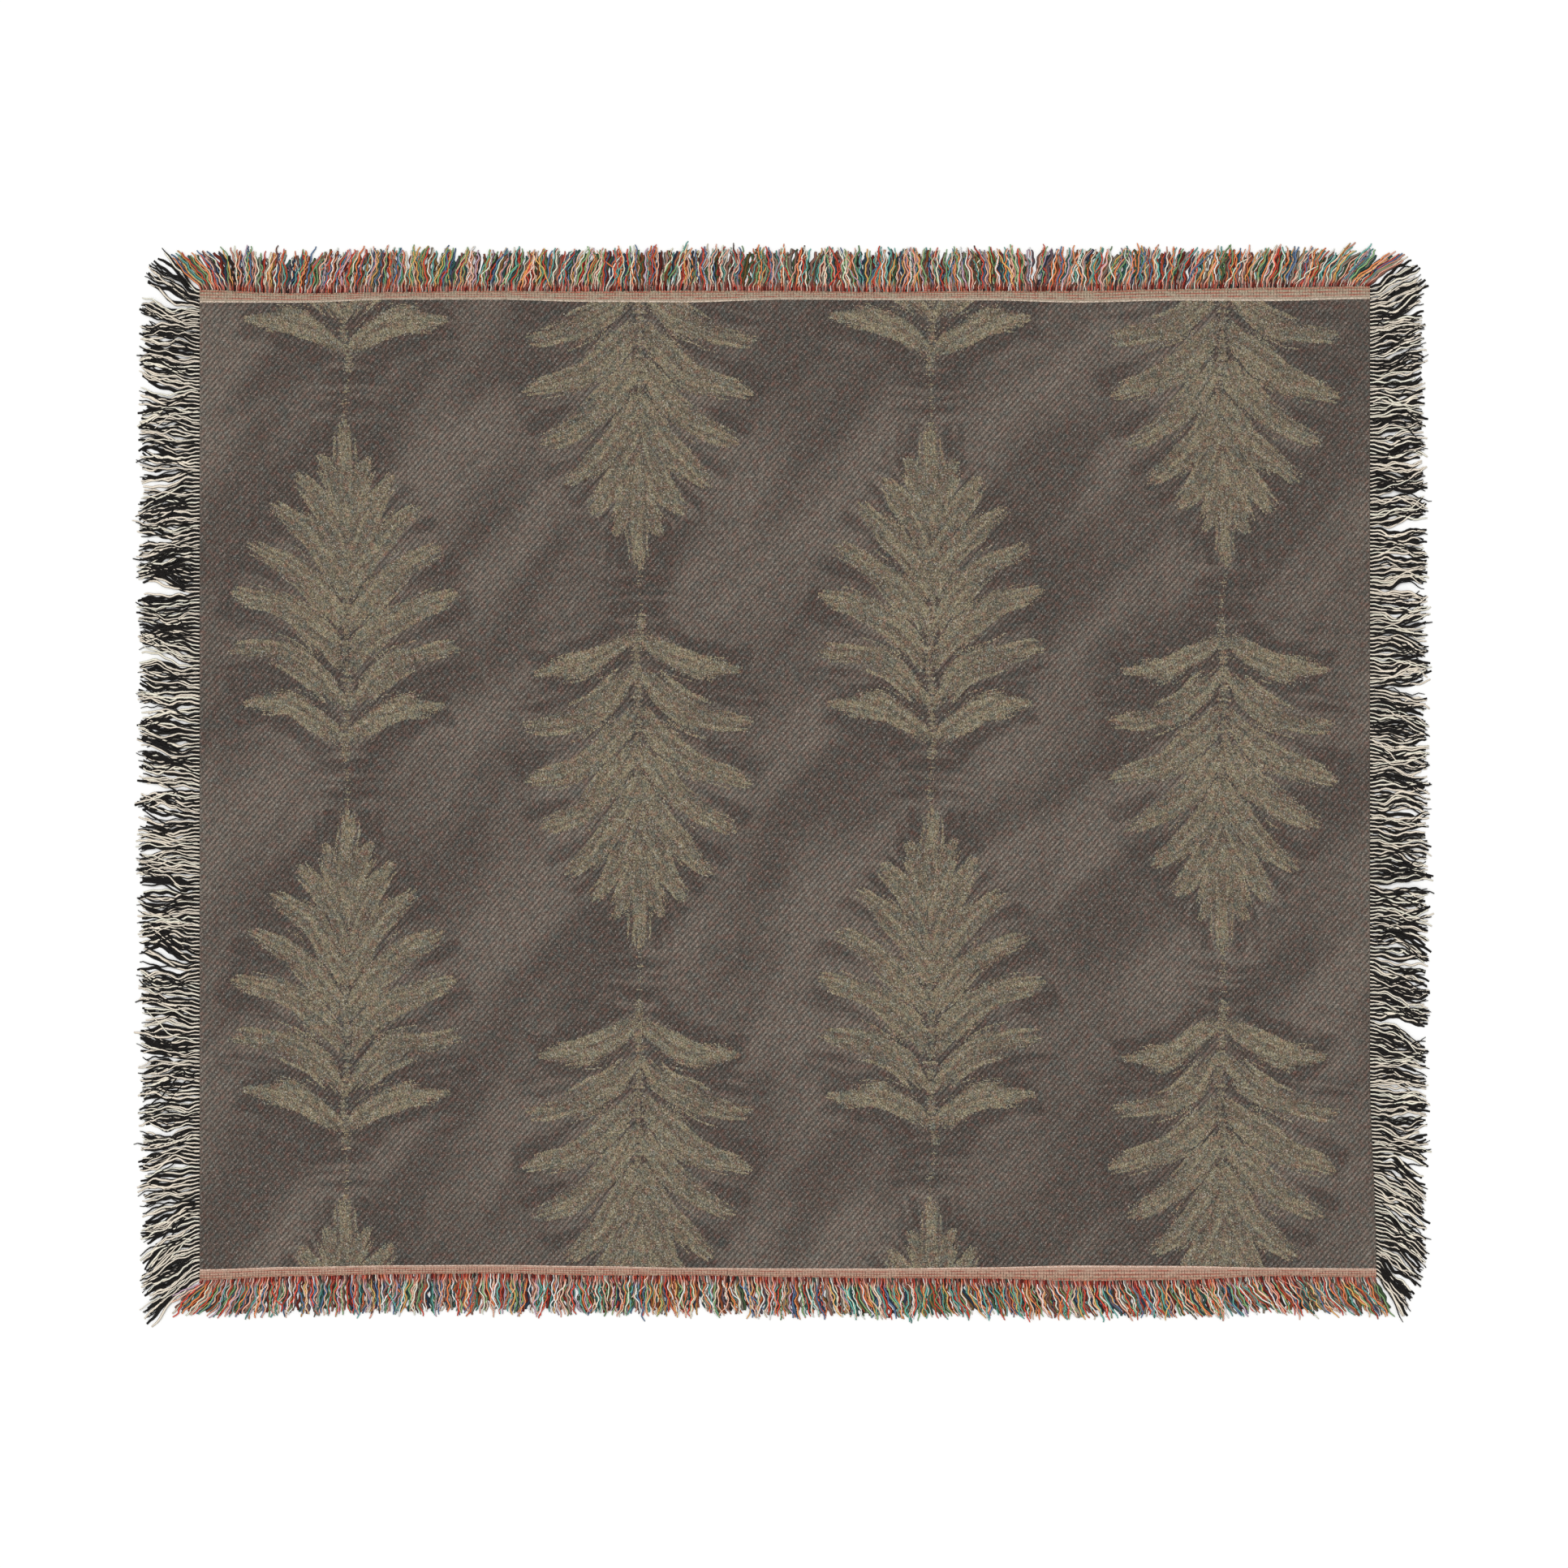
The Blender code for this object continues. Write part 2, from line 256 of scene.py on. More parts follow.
def channels(colour):
    """A colour's red, green and blue."""
    return after("ShaderNodeSeparateColor", {0: colour})


def combine(*values):
    """A vector from its X, Y and, where it has one, Z."""
    return after("ShaderNodeCombineXYZ", dict(enumerate(values)))[0]


def blend(share, low, high, mode="MIX"):
    """A colour a share of the way from one to another, or the second laid over the first."""
    feeds = {"Factor": share, 6: low, 7: high}
    return after("ShaderNodeMix", feeds, data_type="RGBA", blend_type=mode)[2]


def ramp(value, low, high, to_low=0.0, to_high=1.0):
    """A number moved from one range to another, and held inside it."""
    feeds = {0: value, 1: low, 2: high, 3: to_low, 4: to_high}
    return after("ShaderNodeMapRange", feeds)[0]


def noise(place, scale, detail=2.0, roughness=0.5, out="Fac"):
    """Soft noise at a number of lumps to the metre."""
    feeds = {"Vector": place, "Scale": scale, "Detail": detail, "Roughness": roughness}
    return after("ShaderNodeTexNoise", feeds)[out]


def half_sine(share):
    """sin(pi s): 0 at both ends of a share and 1 in its middle."""
    return reckon("MAXIMUM", reckon("SINE", times(share, np.pi)), 0.0)


def lighten(colour, light):
    """A colour times one number."""
    grey = after("ShaderNodeCombineColor", {0: light, 1: light, 2: light})[0]
    return blend(1.0, colour, grey, "MULTIPLY")


def dye(red, green, blue):
    """A colour given as it looks, 0 to 255, as the linear colour that a shader takes."""
    seen = np.array([red, green, blue]) / 255
    light = np.where(seen <= 0.04045, seen / 12.92, ((seen + 0.055) / 1.055) ** 2.4)
    return (*light, 1.0)


def new_group(name, takes, gives):
    """An empty shader node group with named inputs and outputs, as the sockets of its two ends."""
    group = bpy.data.node_groups.new(name, "ShaderNodeTree")
    for way, sockets in (("INPUT", takes), ("OUTPUT", gives)):
        for label, kind in sockets.items():
            group.interface.new_socket(label, in_out=way, socket_type=f"NodeSocket{kind}")
    return group.nodes.new("NodeGroupInput").outputs, group.nodes.new("NodeGroupOutput").inputs


def give(result, *values):
    """The group, once its answers are linked to its outputs in their order."""
    group = values[0].id_data
    for value, socket in zip(values, result):
        group.links.new(value, socket)
    return group


def place_group(group, feeds):
    """A node group set beside the sockets that feed it, as its outputs."""
    return after("ShaderNodeGroup", feeds, node_tree=group)


# %% [markdown]
# The weave. A jacquard cloth is a grid of crossings about a millimetre apart, and at each of them
# either the warp or the weft shows. On the ground every warp yarn floats over five wefts and dips
# under one, and the dip moves up by one weft from each warp to the next, which is a twill: the
# slanting ribs of the photograph. In the figure the order is broken up, so it looks grainy. One
# group counts the yarns, so that colours change yarn by yarn, and another one shapes them.

# %% The weave groups
CROSSING = (1.09 * MM, 1.25 * MM)  # from one warp to the next, and from one weft to the next
TWILL_REPEAT = 6  # wefts from one dip to the next
FLOAT_SHARE = 0.90  # of the repeat, where the warp lies on top


def crossing_group():
    """Counts the yarns at a place: number = floor(place / spacing), and share = what is left."""
    gives = {"Number": "Vector", "Share": "Vector", "Centre": "Vector", "Chance": "Color"}
    given, result = new_group("yarn crossings", {"Place": "Vector"}, gives)
    each = (1 / CROSSING[0], 1 / CROSSING[1], 0)
    yarns = vector("MULTIPLY", given["Place"], each)
    counted = vector("FLOOR", yarns)
    share = vector("SUBTRACT", yarns, counted)
    middle = vector("ADD", counted, (0.5, 0.5, 0))
    chance = after("ShaderNodeTexWhiteNoise", {"Vector": counted})["Color"]
    centre = vector("MULTIPLY", middle, (*CROSSING, 0))
    return give(result, counted, share, centre, chance)


def weave_group():
    """How high the yarn on top stands, 0 to 1: a half sine along its float, a little lower at the
    float's sides. Where the weave is broken, each crossing is a round grain instead."""
    takes = {"Number": "Vector", "Share": "Vector", "Chance": "Color", "Broken": "Float"}
    given, result = new_group("weave relief", takes, {"Height": "Float"})
    number = parts(given["Number"])
    share = parts(given["Share"])
    chance = channels(given["Chance"])

    weft = reckon("ADD", number[1], share[1])
    along = reckon("FLOORED_MODULO", reckon("SUBTRACT", weft, number[0]), TWILL_REPEAT)
    along = ramp(along, 0.0, TWILL_REPEAT * FLOAT_SHARE)
    over = half_sine(along)
    across = half_sine(share[0])
    floating = times(over, linear(across, 0.3, 0.7))

    grain = reckon("SQRT", times(across, half_sine(share[1])))
    grain = linear(grain, 0.55, 0.45)
    grain = times(grain, linear(chance[0], 0.8, 0.4))
    height = after("ShaderNodeMix", {0: given["Broken"], 2: floating, 3: grain})[0]
    return give(result, height)


CROSSINGS = crossing_group()
WEAVE = weave_group()


def relief(grid, broken):
    """How high the weave stands on a grid of crossings, in its order or broken up."""
    feeds = {name: grid[name] for name in ("Number", "Share", "Chance")}
    return place_group(WEAVE, {**feeds, "Broken": broken})["Height"]


print(f"weave: ribs {TWILL_REPEAT / np.hypot(1 / CROSSING[0], 1 / CROSSING[1]) / MM:.2f} mm apart")

# %% [markdown]
# The figure. One leaf is a lens bent along its middle: its half width is a power of 4s(1 - s),
# where s is the share of the way from its stalk to its tip. A frond is a stem with leaves of that
# one shape on both sides and a last leaf on top, and its left half is the right one mirrored. The
# leaf group says how far inside the leaf a point is, in metres, and where it is along the leaf,
# because the khaki is laid on in streaks that run from stalk to tip.

# %% The leaf and frond groups
LeafRow = namedtuple("LeafRow", "foot angle length half_width bend")  # metres, degrees, shares
FROND_LEAVES = [
    LeafRow(0.020, 20, 0.128, 0.120, 0.12),
    LeafRow(0.062, 27, 0.152, 0.112, 0.12),
    LeafRow(0.106, 34, 0.162, 0.108, 0.11),
    LeafRow(0.150, 42, 0.156, 0.108, 0.10),
    LeafRow(0.192, 51, 0.140, 0.110, 0.09),
    LeafRow(0.230, 61, 0.120, 0.115, 0.07),
    LeafRow(0.262, 74, 0.100, 0.120, 0.05),
    LeafRow(0.284, 90, 0.112, 0.120, 0.00),
]
LEAF_FULLNESS = 0.62
STEM_HALF_WIDTH = 3.6 * MM
STEM_STROKES = (3, 8, 0)  # to the metre


def leaf_group():
    """How deep a point lies in a leaf from (0, 0) to (1, 0), and its place along that leaf:
    half width = 4s(1 - s) to the power of its fullness, about a middle that bends as 4s(1 - s)."""
    takes = {"Place": "Vector", "Length": "Float", "Half Width": "Float", "Bend": "Float"}
    gives = {"Depth": "Float", "Stroke": "Vector"}
    given, result = new_group("leaf", takes, gives)
    part = parts(given["Place"])
    left = reckon("SUBTRACT", 4.0, times(part[0], 4.0))
    body = times(part[0], left)
    across = reckon("SUBTRACT", part[1], times(body, given["Bend"]))
    half = reckon("POWER", reckon("MAXIMUM", body, 0.0), LEAF_FULLNESS)
    half = linear(half, given["Half Width"], reckon("MINIMUM", body, 0.0))
    depth = reckon("SUBTRACT", half, reckon("ABSOLUTE", across))
    depth = times(depth, given["Length"])
    return give(result, depth, combine(part[0], across, given["Length"]))


def frond_group(leaf):
    """The deepest of all the frond's leaves at a point, with the stroke of that leaf."""
    gives = {"Depth": "Float", "Stroke": "Vector"}
    given, result = new_group("frond", {"Place": "Vector"}, gives)
    part = parts(given["Place"])
    beside = parts(vector("ABSOLUTE", given["Place"]))
    place = combine(beside[0], part[1])

    top = FROND_LEAVES[-1].foot
    on_stem = reckon("COMPARE", part[1], top / 2, top / 2)
    width = times(on_stem, STEM_HALF_WIDTH)
    depth = reckon("SUBTRACT", width, reckon("MAXIMUM", beside[0], 0.1 * MM))
    stroke = vector("MULTIPLY", place, STEM_STROKES)
    for row in FROND_LEAVES:
        spot = {
            "Vector": place,
            "Location": (0, row.foot, 0),
            "Rotation": (0, 0, np.radians(row.angle)),
            "Scale": (row.length, row.length, 1),
        }
        seen = after("ShaderNodeMapping", spot, vector_type="TEXTURE")[0]
        feeds = {"Place": seen, "Length": row.length, "Half Width": row.half_width, "Bend": row.bend}
        one = place_group(leaf, feeds)
        deeper = reckon("GREATER_THAN", one["Depth"], depth)
        depth = reckon("MAXIMUM", one["Depth"], depth)
        choice = {0: deeper, 4: stroke, 5: one["Stroke"]}
        stroke = after("ShaderNodeMix", choice, data_type="VECTOR")[1]
    return give(result, depth, stroke)


FROND = frond_group(leaf_group())
print(f"frond: {2 * len(FROND_LEAVES) - 1} leaves on a stem of {FROND_LEAVES[-1].foot:.3f} m")

# %% [markdown]
# The fronds stand in straight columns, and every second column points down. A point finds its own
# frond by taking its place modulo the column and row widths.

# %% The layout group
COLUMNS, ROWS = 4, 2.5
COLUMN_WIDTH, ROW_HEIGHT = 2 * HALF_WIDTH / COLUMNS, 2 * HALF_DEPTH / ROWS
FROND_HEIGHT = FROND_LEAVES[-1].foot + FROND_LEAVES[-1].length


def layout_group():
    """Place modulo the repeat, counted from the frond's foot, with odd columns turned over."""
    given, result = new_group("columns of fronds", {"Place": "Vector"}, {"Place": "Vector"})
    part = parts(given["Place"])
    column = reckon("FLOOR", reckon("DIVIDE", part[0], COLUMN_WIDTH))
    odd = reckon("FLOORED_MODULO", column, 2.0)
    x = reckon("FLOORED_MODULO", part[0], COLUMN_WIDTH)
    x = reckon("SUBTRACT", x, COLUMN_WIDTH / 2)
    drop = linear(odd, ROW_HEIGHT / 2, part[1])
    y = reckon("FLOORED_MODULO", drop, ROW_HEIGHT)
    y = reckon("SUBTRACT", y, ROW_HEIGHT / 2)
    way = linear(odd, -2.0, 1.0)
    return give(result, combine(x, linear(y, way, FROND_HEIGHT / 2)))


LAYOUT = layout_group()
print(f"repeat: {COLUMN_WIDTH:.3f} by {ROW_HEIGHT:.3f} m")

# %% [markdown]
# The cloth's colours. A crossing is khaki where it lies inside a frond, and taupe elsewhere, with
# brown clouds and with dark brush strokes that run beside the leaves. The edge of the figure is
# broken by the streaks and by chance, crossing by crossing, as brushwork looks once it is woven.
# Dark weft shows through between the slanting ribs, and the same dark is painted as shade down the sides
# and ends of each float and round each grain of the figure. Flecks of brick and slate warp come through
# everywhere. The underside of a jacquard cloth shows the colours the other way round, so the same recipe is
# used twice.

# %% The cloth's material
ClothColours = namedtuple("ClothColours", "ground shade figure figure_deep gap")
FACE = ClothColours(
    dye(146, 134, 122), dye(104, 94, 86), dye(162, 151, 123), dye(126, 115, 97), dye(20, 15, 11),
)
UNDERSIDE = ClothColours(
    dye(160, 150, 130), dye(138, 128, 110), dye(112, 102, 95), dye(98, 88, 82), dye(60, 52, 48),
)
BRICK, SLATE, LIGHT_GRAIN = dye(158, 94, 80), dye(78, 108, 108), dye(208, 205, 198)
BRIGHT_FROM = 0.86  # of the chance of a crossing to be a light grain
RIB_LEAST, RIB_MOST = 0.26, 0.67  # shares of warp that show between two ribs, and on a rib
WAVES_PER_METRE, PATCHES_PER_METRE, FIBRES_PER_METRE = 11.0, 130.0, 1400.0
WAVER = 26 * MM  # how far the painted lines stray
BRISTLES, FEATHERS = (2.2, 32.0, 90.0), (1.4, 8.0, 60.0)  # along a leaf, across it, from leaf to leaf
RAGGED_EDGE, LOOSE_CROSSINGS = 34 * MM, 4 * MM  # how far streaks and chance move a leaf's edge
CLOUD_ANGLE, CLOUD_SIZE = 50, (0.30, 0.10, 1.0)  # degrees and metres
STROKES_REACH, STROKES_STOP = 55 * MM, 8 * MM  # how far from a leaf the dark strokes go


def cotton(name):
    """A new material, its tree, and its Principled shader's inputs, set up as unpolished cotton."""
    material = bpy.data.materials.new(name)
    material.use_nodes = True
    finish = material.node_tree.nodes["Principled BSDF"].inputs
    finish["Roughness"].default_value = 0.9
    finish["Specular IOR Level"].default_value = 0.2
    finish["Sheen Weight"].default_value = 0.06
    finish["Sheen Roughness"].default_value = 0.5
    return material, material.node_tree, finish


def dress(finish, colour, light, height, distance, strength):
    """Feeds a shader a colour made as light as a number says, and a normal bent by a height."""
    feeds = {"Height": height, "Distance": distance, "Strength": strength}
    links = colour.id_data.links
    links.new(lighten(colour, light), finish["Base Color"])
    links.new(after("ShaderNodeBump", feeds)[0], finish["Normal"])


def either(figure, on_ground, in_figure):
    """One number on the ground and another in the figure."""
    return linear(figure, in_figure - on_ground, on_ground)


def brushed(place, grid):
    """The painted masks at a place: in a figure or not, its streaks, and how dark its ground is."""
    waver = vector("SUBTRACT", noise(place, WAVES_PER_METRE, out="Color"), (0.5, 0.5, 0.5))
    waver = vector("MULTIPLY", waver, (WAVER, WAVER, WAVER))
    drawn = vector("ADD", place, waver)
    here = place_group(LAYOUT, {"Place": drawn})
    frond = place_group(FROND, {"Place": here["Place"]})

    bristles = vector("MULTIPLY", frond["Stroke"], BRISTLES)
    streak = noise(bristles, 1.0, detail=3.0, roughness=0.6)
    ragged = linear(streak, RAGGED_EDGE, -RAGGED_EDGE / 2)
    jitter = linear(channels(grid["Chance"])[1], LOOSE_CROSSINGS, -LOOSE_CROSSINGS / 2)
    depth = reckon("ADD", frond["Depth"], reckon("ADD", ragged, jitter))
    figure = reckon("GREATER_THAN", depth, 0.0)

    swept = {"Vector": drawn, "Rotation": (0, 0, np.radians(CLOUD_ANGLE)), "Scale": CLOUD_SIZE}
    swept = after("ShaderNodeMapping", swept, vector_type="TEXTURE")[0]
    cloud = ramp(noise(swept, 1.0), 0.40, 0.60, 0.0, 0.85)
    feathers = vector("MULTIPLY", frond["Stroke"], FEATHERS)
    strokes = ramp(noise(feathers, 1.0), 0.42, 0.56)
    near = ramp(frond["Depth"], -STROKES_REACH, -STROKES_STOP, 0.0, 0.9)
    return figure, streak, linear(strokes, near, cloud)


def cloth_material(name, colours):
    """Figured cloth: the figure's mask decides between two weaves and two pairs of colours. The
    bump has one weave everywhere, because a bump works its height out three times over."""
    material, tree, finish = cotton(name)
    place = add(tree, "ShaderNodeTexCoord").outputs["Object"]
    grid = place_group(CROSSINGS, {"Place": place})
    figure, streak, dark = brushed(grid["Centre"], grid)
    height, everywhere = relief(grid, figure), relief(grid, 0.3)
    chance = channels(grid["Chance"])

    ground = blend(ramp(dark, 0.0, 1.0), colours.ground, colours.shade)
    khaki = blend(ramp(streak, 0.42, 0.60), colours.figure_deep, colours.figure)
    bright = reckon("GREATER_THAN", chance[2], BRIGHT_FROM)
    grain = times(bright, either(figure, 0.26, 0.40))
    colour = blend(grain, blend(figure, ground, khaki), LIGHT_GRAIN)

    patch = noise(grid["Centre"], PATCHES_PER_METRE, detail=3.0, roughness=0.75, out="Color")
    patch = channels(patch)
    strength = either(figure, 0.38, 0.48)
    for share, fleck in ((patch[0], BRICK), (patch[1], SLATE)):
        colour = blend(times(ramp(share, 0.46, 0.70), strength), colour, fleck)

    # Dark weft and painted shade: where the weave's relief is low the colour goes towards the dark. That
    # dark is the weft in the dips, and painted shade down the sides and ends of the floats and round each
    # grain.
    least, most = either(figure, RIB_LEAST, 0.0), either(figure, RIB_MOST, 1.0)
    colour = blend(ramp(height, 0.14, 1.0, least, most), colours.gap, colour)
    swing = either(figure, 0.90, 0.45)
    light = linear(reckon("SUBTRACT", chance[1], 0.5), swing, 1.06)
    fibres = ramp(noise(place, FIBRES_PER_METRE), 0.3, 0.7, 0.78, 1.20)
    dress(finish, colour, times(light, fibres), everywhere, 0.35 * MM, 0.5)
    return material


face_cloth = cloth_material("figured_cloth", FACE)
underside_cloth = cloth_material("figured_cloth_underside", UNDERSIDE)
print("cloth materials:", face_cloth.name, underside_cloth.name)

# %% [markdown]
# The headings' finish. A heading is the last dozen rows of thick weft, bound by the warp as plain
# tan and pink cords. Its material reads the piece's own UV map: V runs from the cloth at 0 to the
# fringe at 1, and U is the distance along the edge in metres.

# %% The heading's material
HeadingColours = namedtuple("HeadingColours", "inner outer line tick")
BACK_HEADING = HeadingColours(dye(170, 155, 137), dye(164, 149, 127), dye(172, 78, 64), dye(88, 70, 56))
FRONT_HEADING = HeadingColours(dye(184, 152, 134), dye(175, 147, 126), dye(160, 78, 64), dye(88, 60, 50))
OLIVE_FLECK, RED_FLECK, PALE_FLECK = dye(112, 118, 86), dye(190, 84, 68), dye(236, 220, 206)
RED_LINES = (0.36, 0.60, 0.86)  # places of the thin red cords across a heading
BOUND_PITCH = 3.4 * MM  # from one bundle of warp to the next
CORDS = 5  # to a heading
LONG_STREAKS, SHORT_STREAKS = (60.0, 2.0, 0.0), (420.0, 11.0, 0.0)  # along the edge and across it


def tint(colour, mask, strength, over):
    """A colour with another laid over it, as strongly as a mask times a number says."""
    return blend(times(mask, strength), colour, over)


def heading_material(name, colours):
    """Plain cords along U, thin red ones at set places, ticks where the warp binds them, and painted shade
    in the grooves between the cords and round each crossing.
    """
    material, tree, finish = cotton(name)
    uv = add(tree, "ShaderNodeUVMap", uv_map="along the edge").outputs[0]
    part = parts(uv)
    place = add(tree, "ShaderNodeTexCoord").outputs["Object"]
    grid = place_group(CROSSINGS, {"Place": place})
    height = relief(grid, 1.0)
    chance = channels(grid["Chance"])

    colour = blend(part[1], colours.inner, colours.outer)
    stretched = vector("MULTIPLY", uv, LONG_STREAKS)
    fading = ramp(noise(stretched, 1.0), 0.36, 0.60)
    for middle in RED_LINES:
        off = reckon("ABSOLUTE", reckon("SUBTRACT", part[1], middle))
        line = times(ramp(off, 0.035, 0.075, 1.0, 0.0), fading)
        colour = tint(colour, line, 0.75, colours.line)

    near_cloth = ramp(part[1], 0.12, 0.18, 1.0, 0.0)
    pale = times(reckon("GREATER_THAN", chance[0], 0.45), near_cloth)
    colour = tint(colour, pale, 0.38, PALE_FLECK)
    near_roots = ramp(part[1], 0.55, 1.0, 0.15, 1.0)
    drawn_out = vector("MULTIPLY", uv, SHORT_STREAKS)
    flecks = channels(noise(drawn_out, 1.0, out="Color"))
    olive = times(ramp(flecks[0], 0.53, 0.60), near_roots)
    red = times(ramp(flecks[1], 0.54, 0.61), near_roots)
    colour = tint(tint(colour, olive, 0.6, OLIVE_FLECK), red, 0.6, RED_FLECK)

    cord = reckon("PINGPONG", times(part[1], CORDS), 0.5)
    bundle = reckon("FRACT", reckon("DIVIDE", part[0], BOUND_PITCH))
    tick = times(
        ramp(reckon("PINGPONG", bundle, 0.5), 0.08, 0.26, 1.0, 0.0),
        ramp(noise(stretched, 3.1), 0.40, 0.60, 0.15, 0.95),
        ramp(cord, 0.05, 0.20, 0.4, 1.0),
        ramp(part[1], 0.20, 0.34),
    )
    colour = tint(colour, tick, 0.95, colours.tick)

    # Painted shade: darker in the grooves between the cords and where the weave's relief is low. The first
    # factor is a random tone.
    light = times(
        linear(chance[2], 0.34, 0.84),
        ramp(cord, 0.02, 0.22, 0.70, 1.06),
        ramp(height, 0.0, 0.6, 0.62, 1.05),
    )
    dress(finish, colour, light, height, 0.3 * MM, 0.4)
    return material


back_heading_cloth = heading_material("back_heading_cords", BACK_HEADING)
front_heading_cloth = heading_material("front_heading_cords", FRONT_HEADING)

# %% [markdown]
# The yarns' finish. A cotton yarn is two plies twisted together, so two grooves wind round it. The
# group draws them from the yarn's UV map, where U goes once round it and V is the distance along
# it in metres. Each yarn's colour is an attribute of its mesh, because hundreds of yarns in a few
# colours each share one material.

# %% The yarn's material
TWIST_LENGTH = 7 * MM  # for one full turn of a ply
FIBRES = (9.0, 700.0, 0.0)  # round a yarn, and to the metre along it


def ply_group():
    """How far a point is up out of the groove between two plies, |sin| of their winding angle, and how far
    down the yarn's flank it is, from 0 on top to 1 at the floor. The yarn's material paints shade by both
    the groove and the flank."""
    gives = {"Round": "Float", "Fibre": "Float", "Flank": "Float"}
    given, result = new_group("two plies", {"UV": "Vector"}, gives)
    part = parts(given["UV"])
    turns = reckon("ADD", part[0], reckon("DIVIDE", part[1], TWIST_LENGTH))
    winding = reckon("SINE", times(turns, 2 * np.pi))
    fibre = noise(vector("MULTIPLY", given["UV"], FIBRES), 1.0)
    flank = ramp(reckon("PINGPONG", part[0], 0.5), 0.06, 0.34)
    return give(result, reckon("ABSOLUTE", winding), fibre, flank)


PLIES = ply_group()


def yarn_material(name, painted_groove_shade, painted_flank_shade, root_fade):
    """Loose yarn: its dye at the root fades into its own dye, with painted shade in the grooves between the
    plies and down its flanks, and uneven by its fibres."""
    material, tree, finish = cotton(name)
    uv = add(tree, "ShaderNodeUVMap", uv_map="along the yarn").outputs[0]
    ply = place_group(PLIES, {"UV": uv})
    own = add(tree, "ShaderNodeAttribute", attribute_name="yarn_dye").outputs["Color"]
    root = add(tree, "ShaderNodeAttribute", attribute_name="root_dye").outputs["Color"]
    colour = blend(ramp(parts(uv)[1], *root_fade), root, own)
    # Painted shade: the colour is darker in the grooves between the plies and down the flanks towards the
    # floor, and it varies at random with the fibres.
    light = times(
        ramp(ply["Round"], 0.0, 0.55, painted_groove_shade, 1.0),
        ramp(ply["Fibre"], 0.3, 0.7, 0.84, 1.10),
        ramp(ply["Flank"], 0.0, 1.0, 1.0, painted_flank_shade),
    )
    dress(finish, colour, light, ply["Round"], 0.4 * MM, 0.5)
    return material


warp_yarn = yarn_material("warp_yarn", painted_groove_shade=0.76, painted_flank_shade=0.40, root_fade=(3 * MM, 12 * MM))
weft_yarn = yarn_material("weft_yarn", painted_groove_shade=0.92, painted_flank_shade=0.54, root_fade=(0.0, 1 * MM))

# %% [markdown]
# Every mesh here is worked out by numpy as whole arrays. Two makers cover them all. One joins an
# upper and a lower grid of points round their border, which gives a sheet of cloth with both its
# faces and its edges in one skin. The other numbers the faces of a whole bundle of yarns at once.

# %% Meshes from arrays
def add_mesh(name, points, faces, material):
    """An object at the origin whose mesh has these points and faces."""
    mesh = bpy.data.meshes.new(name)
    mesh.from_pydata(points.reshape(-1, 3), [], faces)
    mesh.materials.append(material)
    mesh.shade_smooth()
    piece = bpy.data.objects.new(name, mesh)
    bpy.context.scene.collection.objects.link(piece)
    return piece


def ring_faces(bundles, rings, sides):
    """Quads between neighbouring rings of a bundle of tubes, and a cap at both ends of each."""
    b, r, s = np.meshgrid(np.arange(bundles), np.arange(rings - 1), np.arange(sides), indexing="ij")
    first = (b * rings + r) * sides
    after = (s + 1) % sides
    quads = np.stack([first + s, first + after, first + sides + after, first + sides + s], axis=-1)
    start = (np.arange(bundles) * rings * sides)[:, None]
    near = start + np.arange(sides)[::-1]
    far = start + (rings - 1) * sides + np.arange(sides)
    return quads.reshape(-1, 4), near, far


def add_shell(name, upper, lower, material):
    """A closed sheet from two grids of points, joined round their border by one row of quads."""
    rows, columns = upper.shape[:2]
    number = np.arange(rows * columns).reshape(rows, columns)
    grid = [number[:-1, :-1], number[:-1, 1:], number[1:, 1:], number[1:, :-1]]
    grid = np.stack(grid, -1).reshape(-1, 4)
    border = np.concatenate([number[0, :-1], number[:-1, -1], number[-1, :0:-1], number[:0:-1, 0]])
    ahead = np.roll(border, -1)
    below = rows * columns
    side = np.stack([border, border + below, ahead + below, ahead], -1)
    faces = np.concatenate([grid, grid[:, ::-1] + below, side])
    return add_mesh(name, np.stack([upper, lower]), faces.tolist(), material)


def face_normals(piece):
    """The normal of each face, as rows of X, Y and Z."""
    normals = np.empty(len(piece.data.polygons) * 3, dtype=np.float32)
    piece.data.polygons.foreach_get("normal", normals)
    return normals.reshape(-1, 3)


def uv_of_rings(piece, name, around, along):
    """A UV map on a tube or a bundle: U from around, with no seam step, and V from along."""
    both = np.stack([around, along], -1)
    corners = np.stack([both[:, :-1, :-1], both[:, :-1, 1:], both[:, 1:, 1:], both[:, 1:, :-1]], axis=3)
    corners = corners.reshape(-1, 2)
    layer = piece.data.uv_layers.new(name=name)
    flat = np.zeros((len(piece.data.loops), 2), dtype=np.float32)
    flat[: len(corners)] = corners
    layer.data.foreach_set("uv", flat.ravel())


# %% [markdown]
# How the throw lies. A flat throw still has shallow swells, less than a millimetre high and a
# hand's breadth long, and little puckers where the stiff headings draw the cloth in. One function
# of X and Y gives that height for the cloth and for both headings, so they meet without a step.

# %% The lie of the cloth
Swell = namedtuple("Swell", "height across along phase")  # metres, and waves to the metre
SWELLS = [
    Swell(0.32 * MM, 2.3, 1.1, 0.4), Swell(0.26 * MM, -1.4, 3.1, 1.9), Swell(0.20 * MM, 4.6, 2.2, 3.3),
]
PUCKER_HEIGHT, PUCKERS_PER_METRE, PUCKER_REACH = 0.30 * MM, 23.0, 0.045
SWELL_FADE, SELVEDGE_FADE = (-0.02, 0.08), (0, 0.05)  # metres in from a heading and from a selvedge


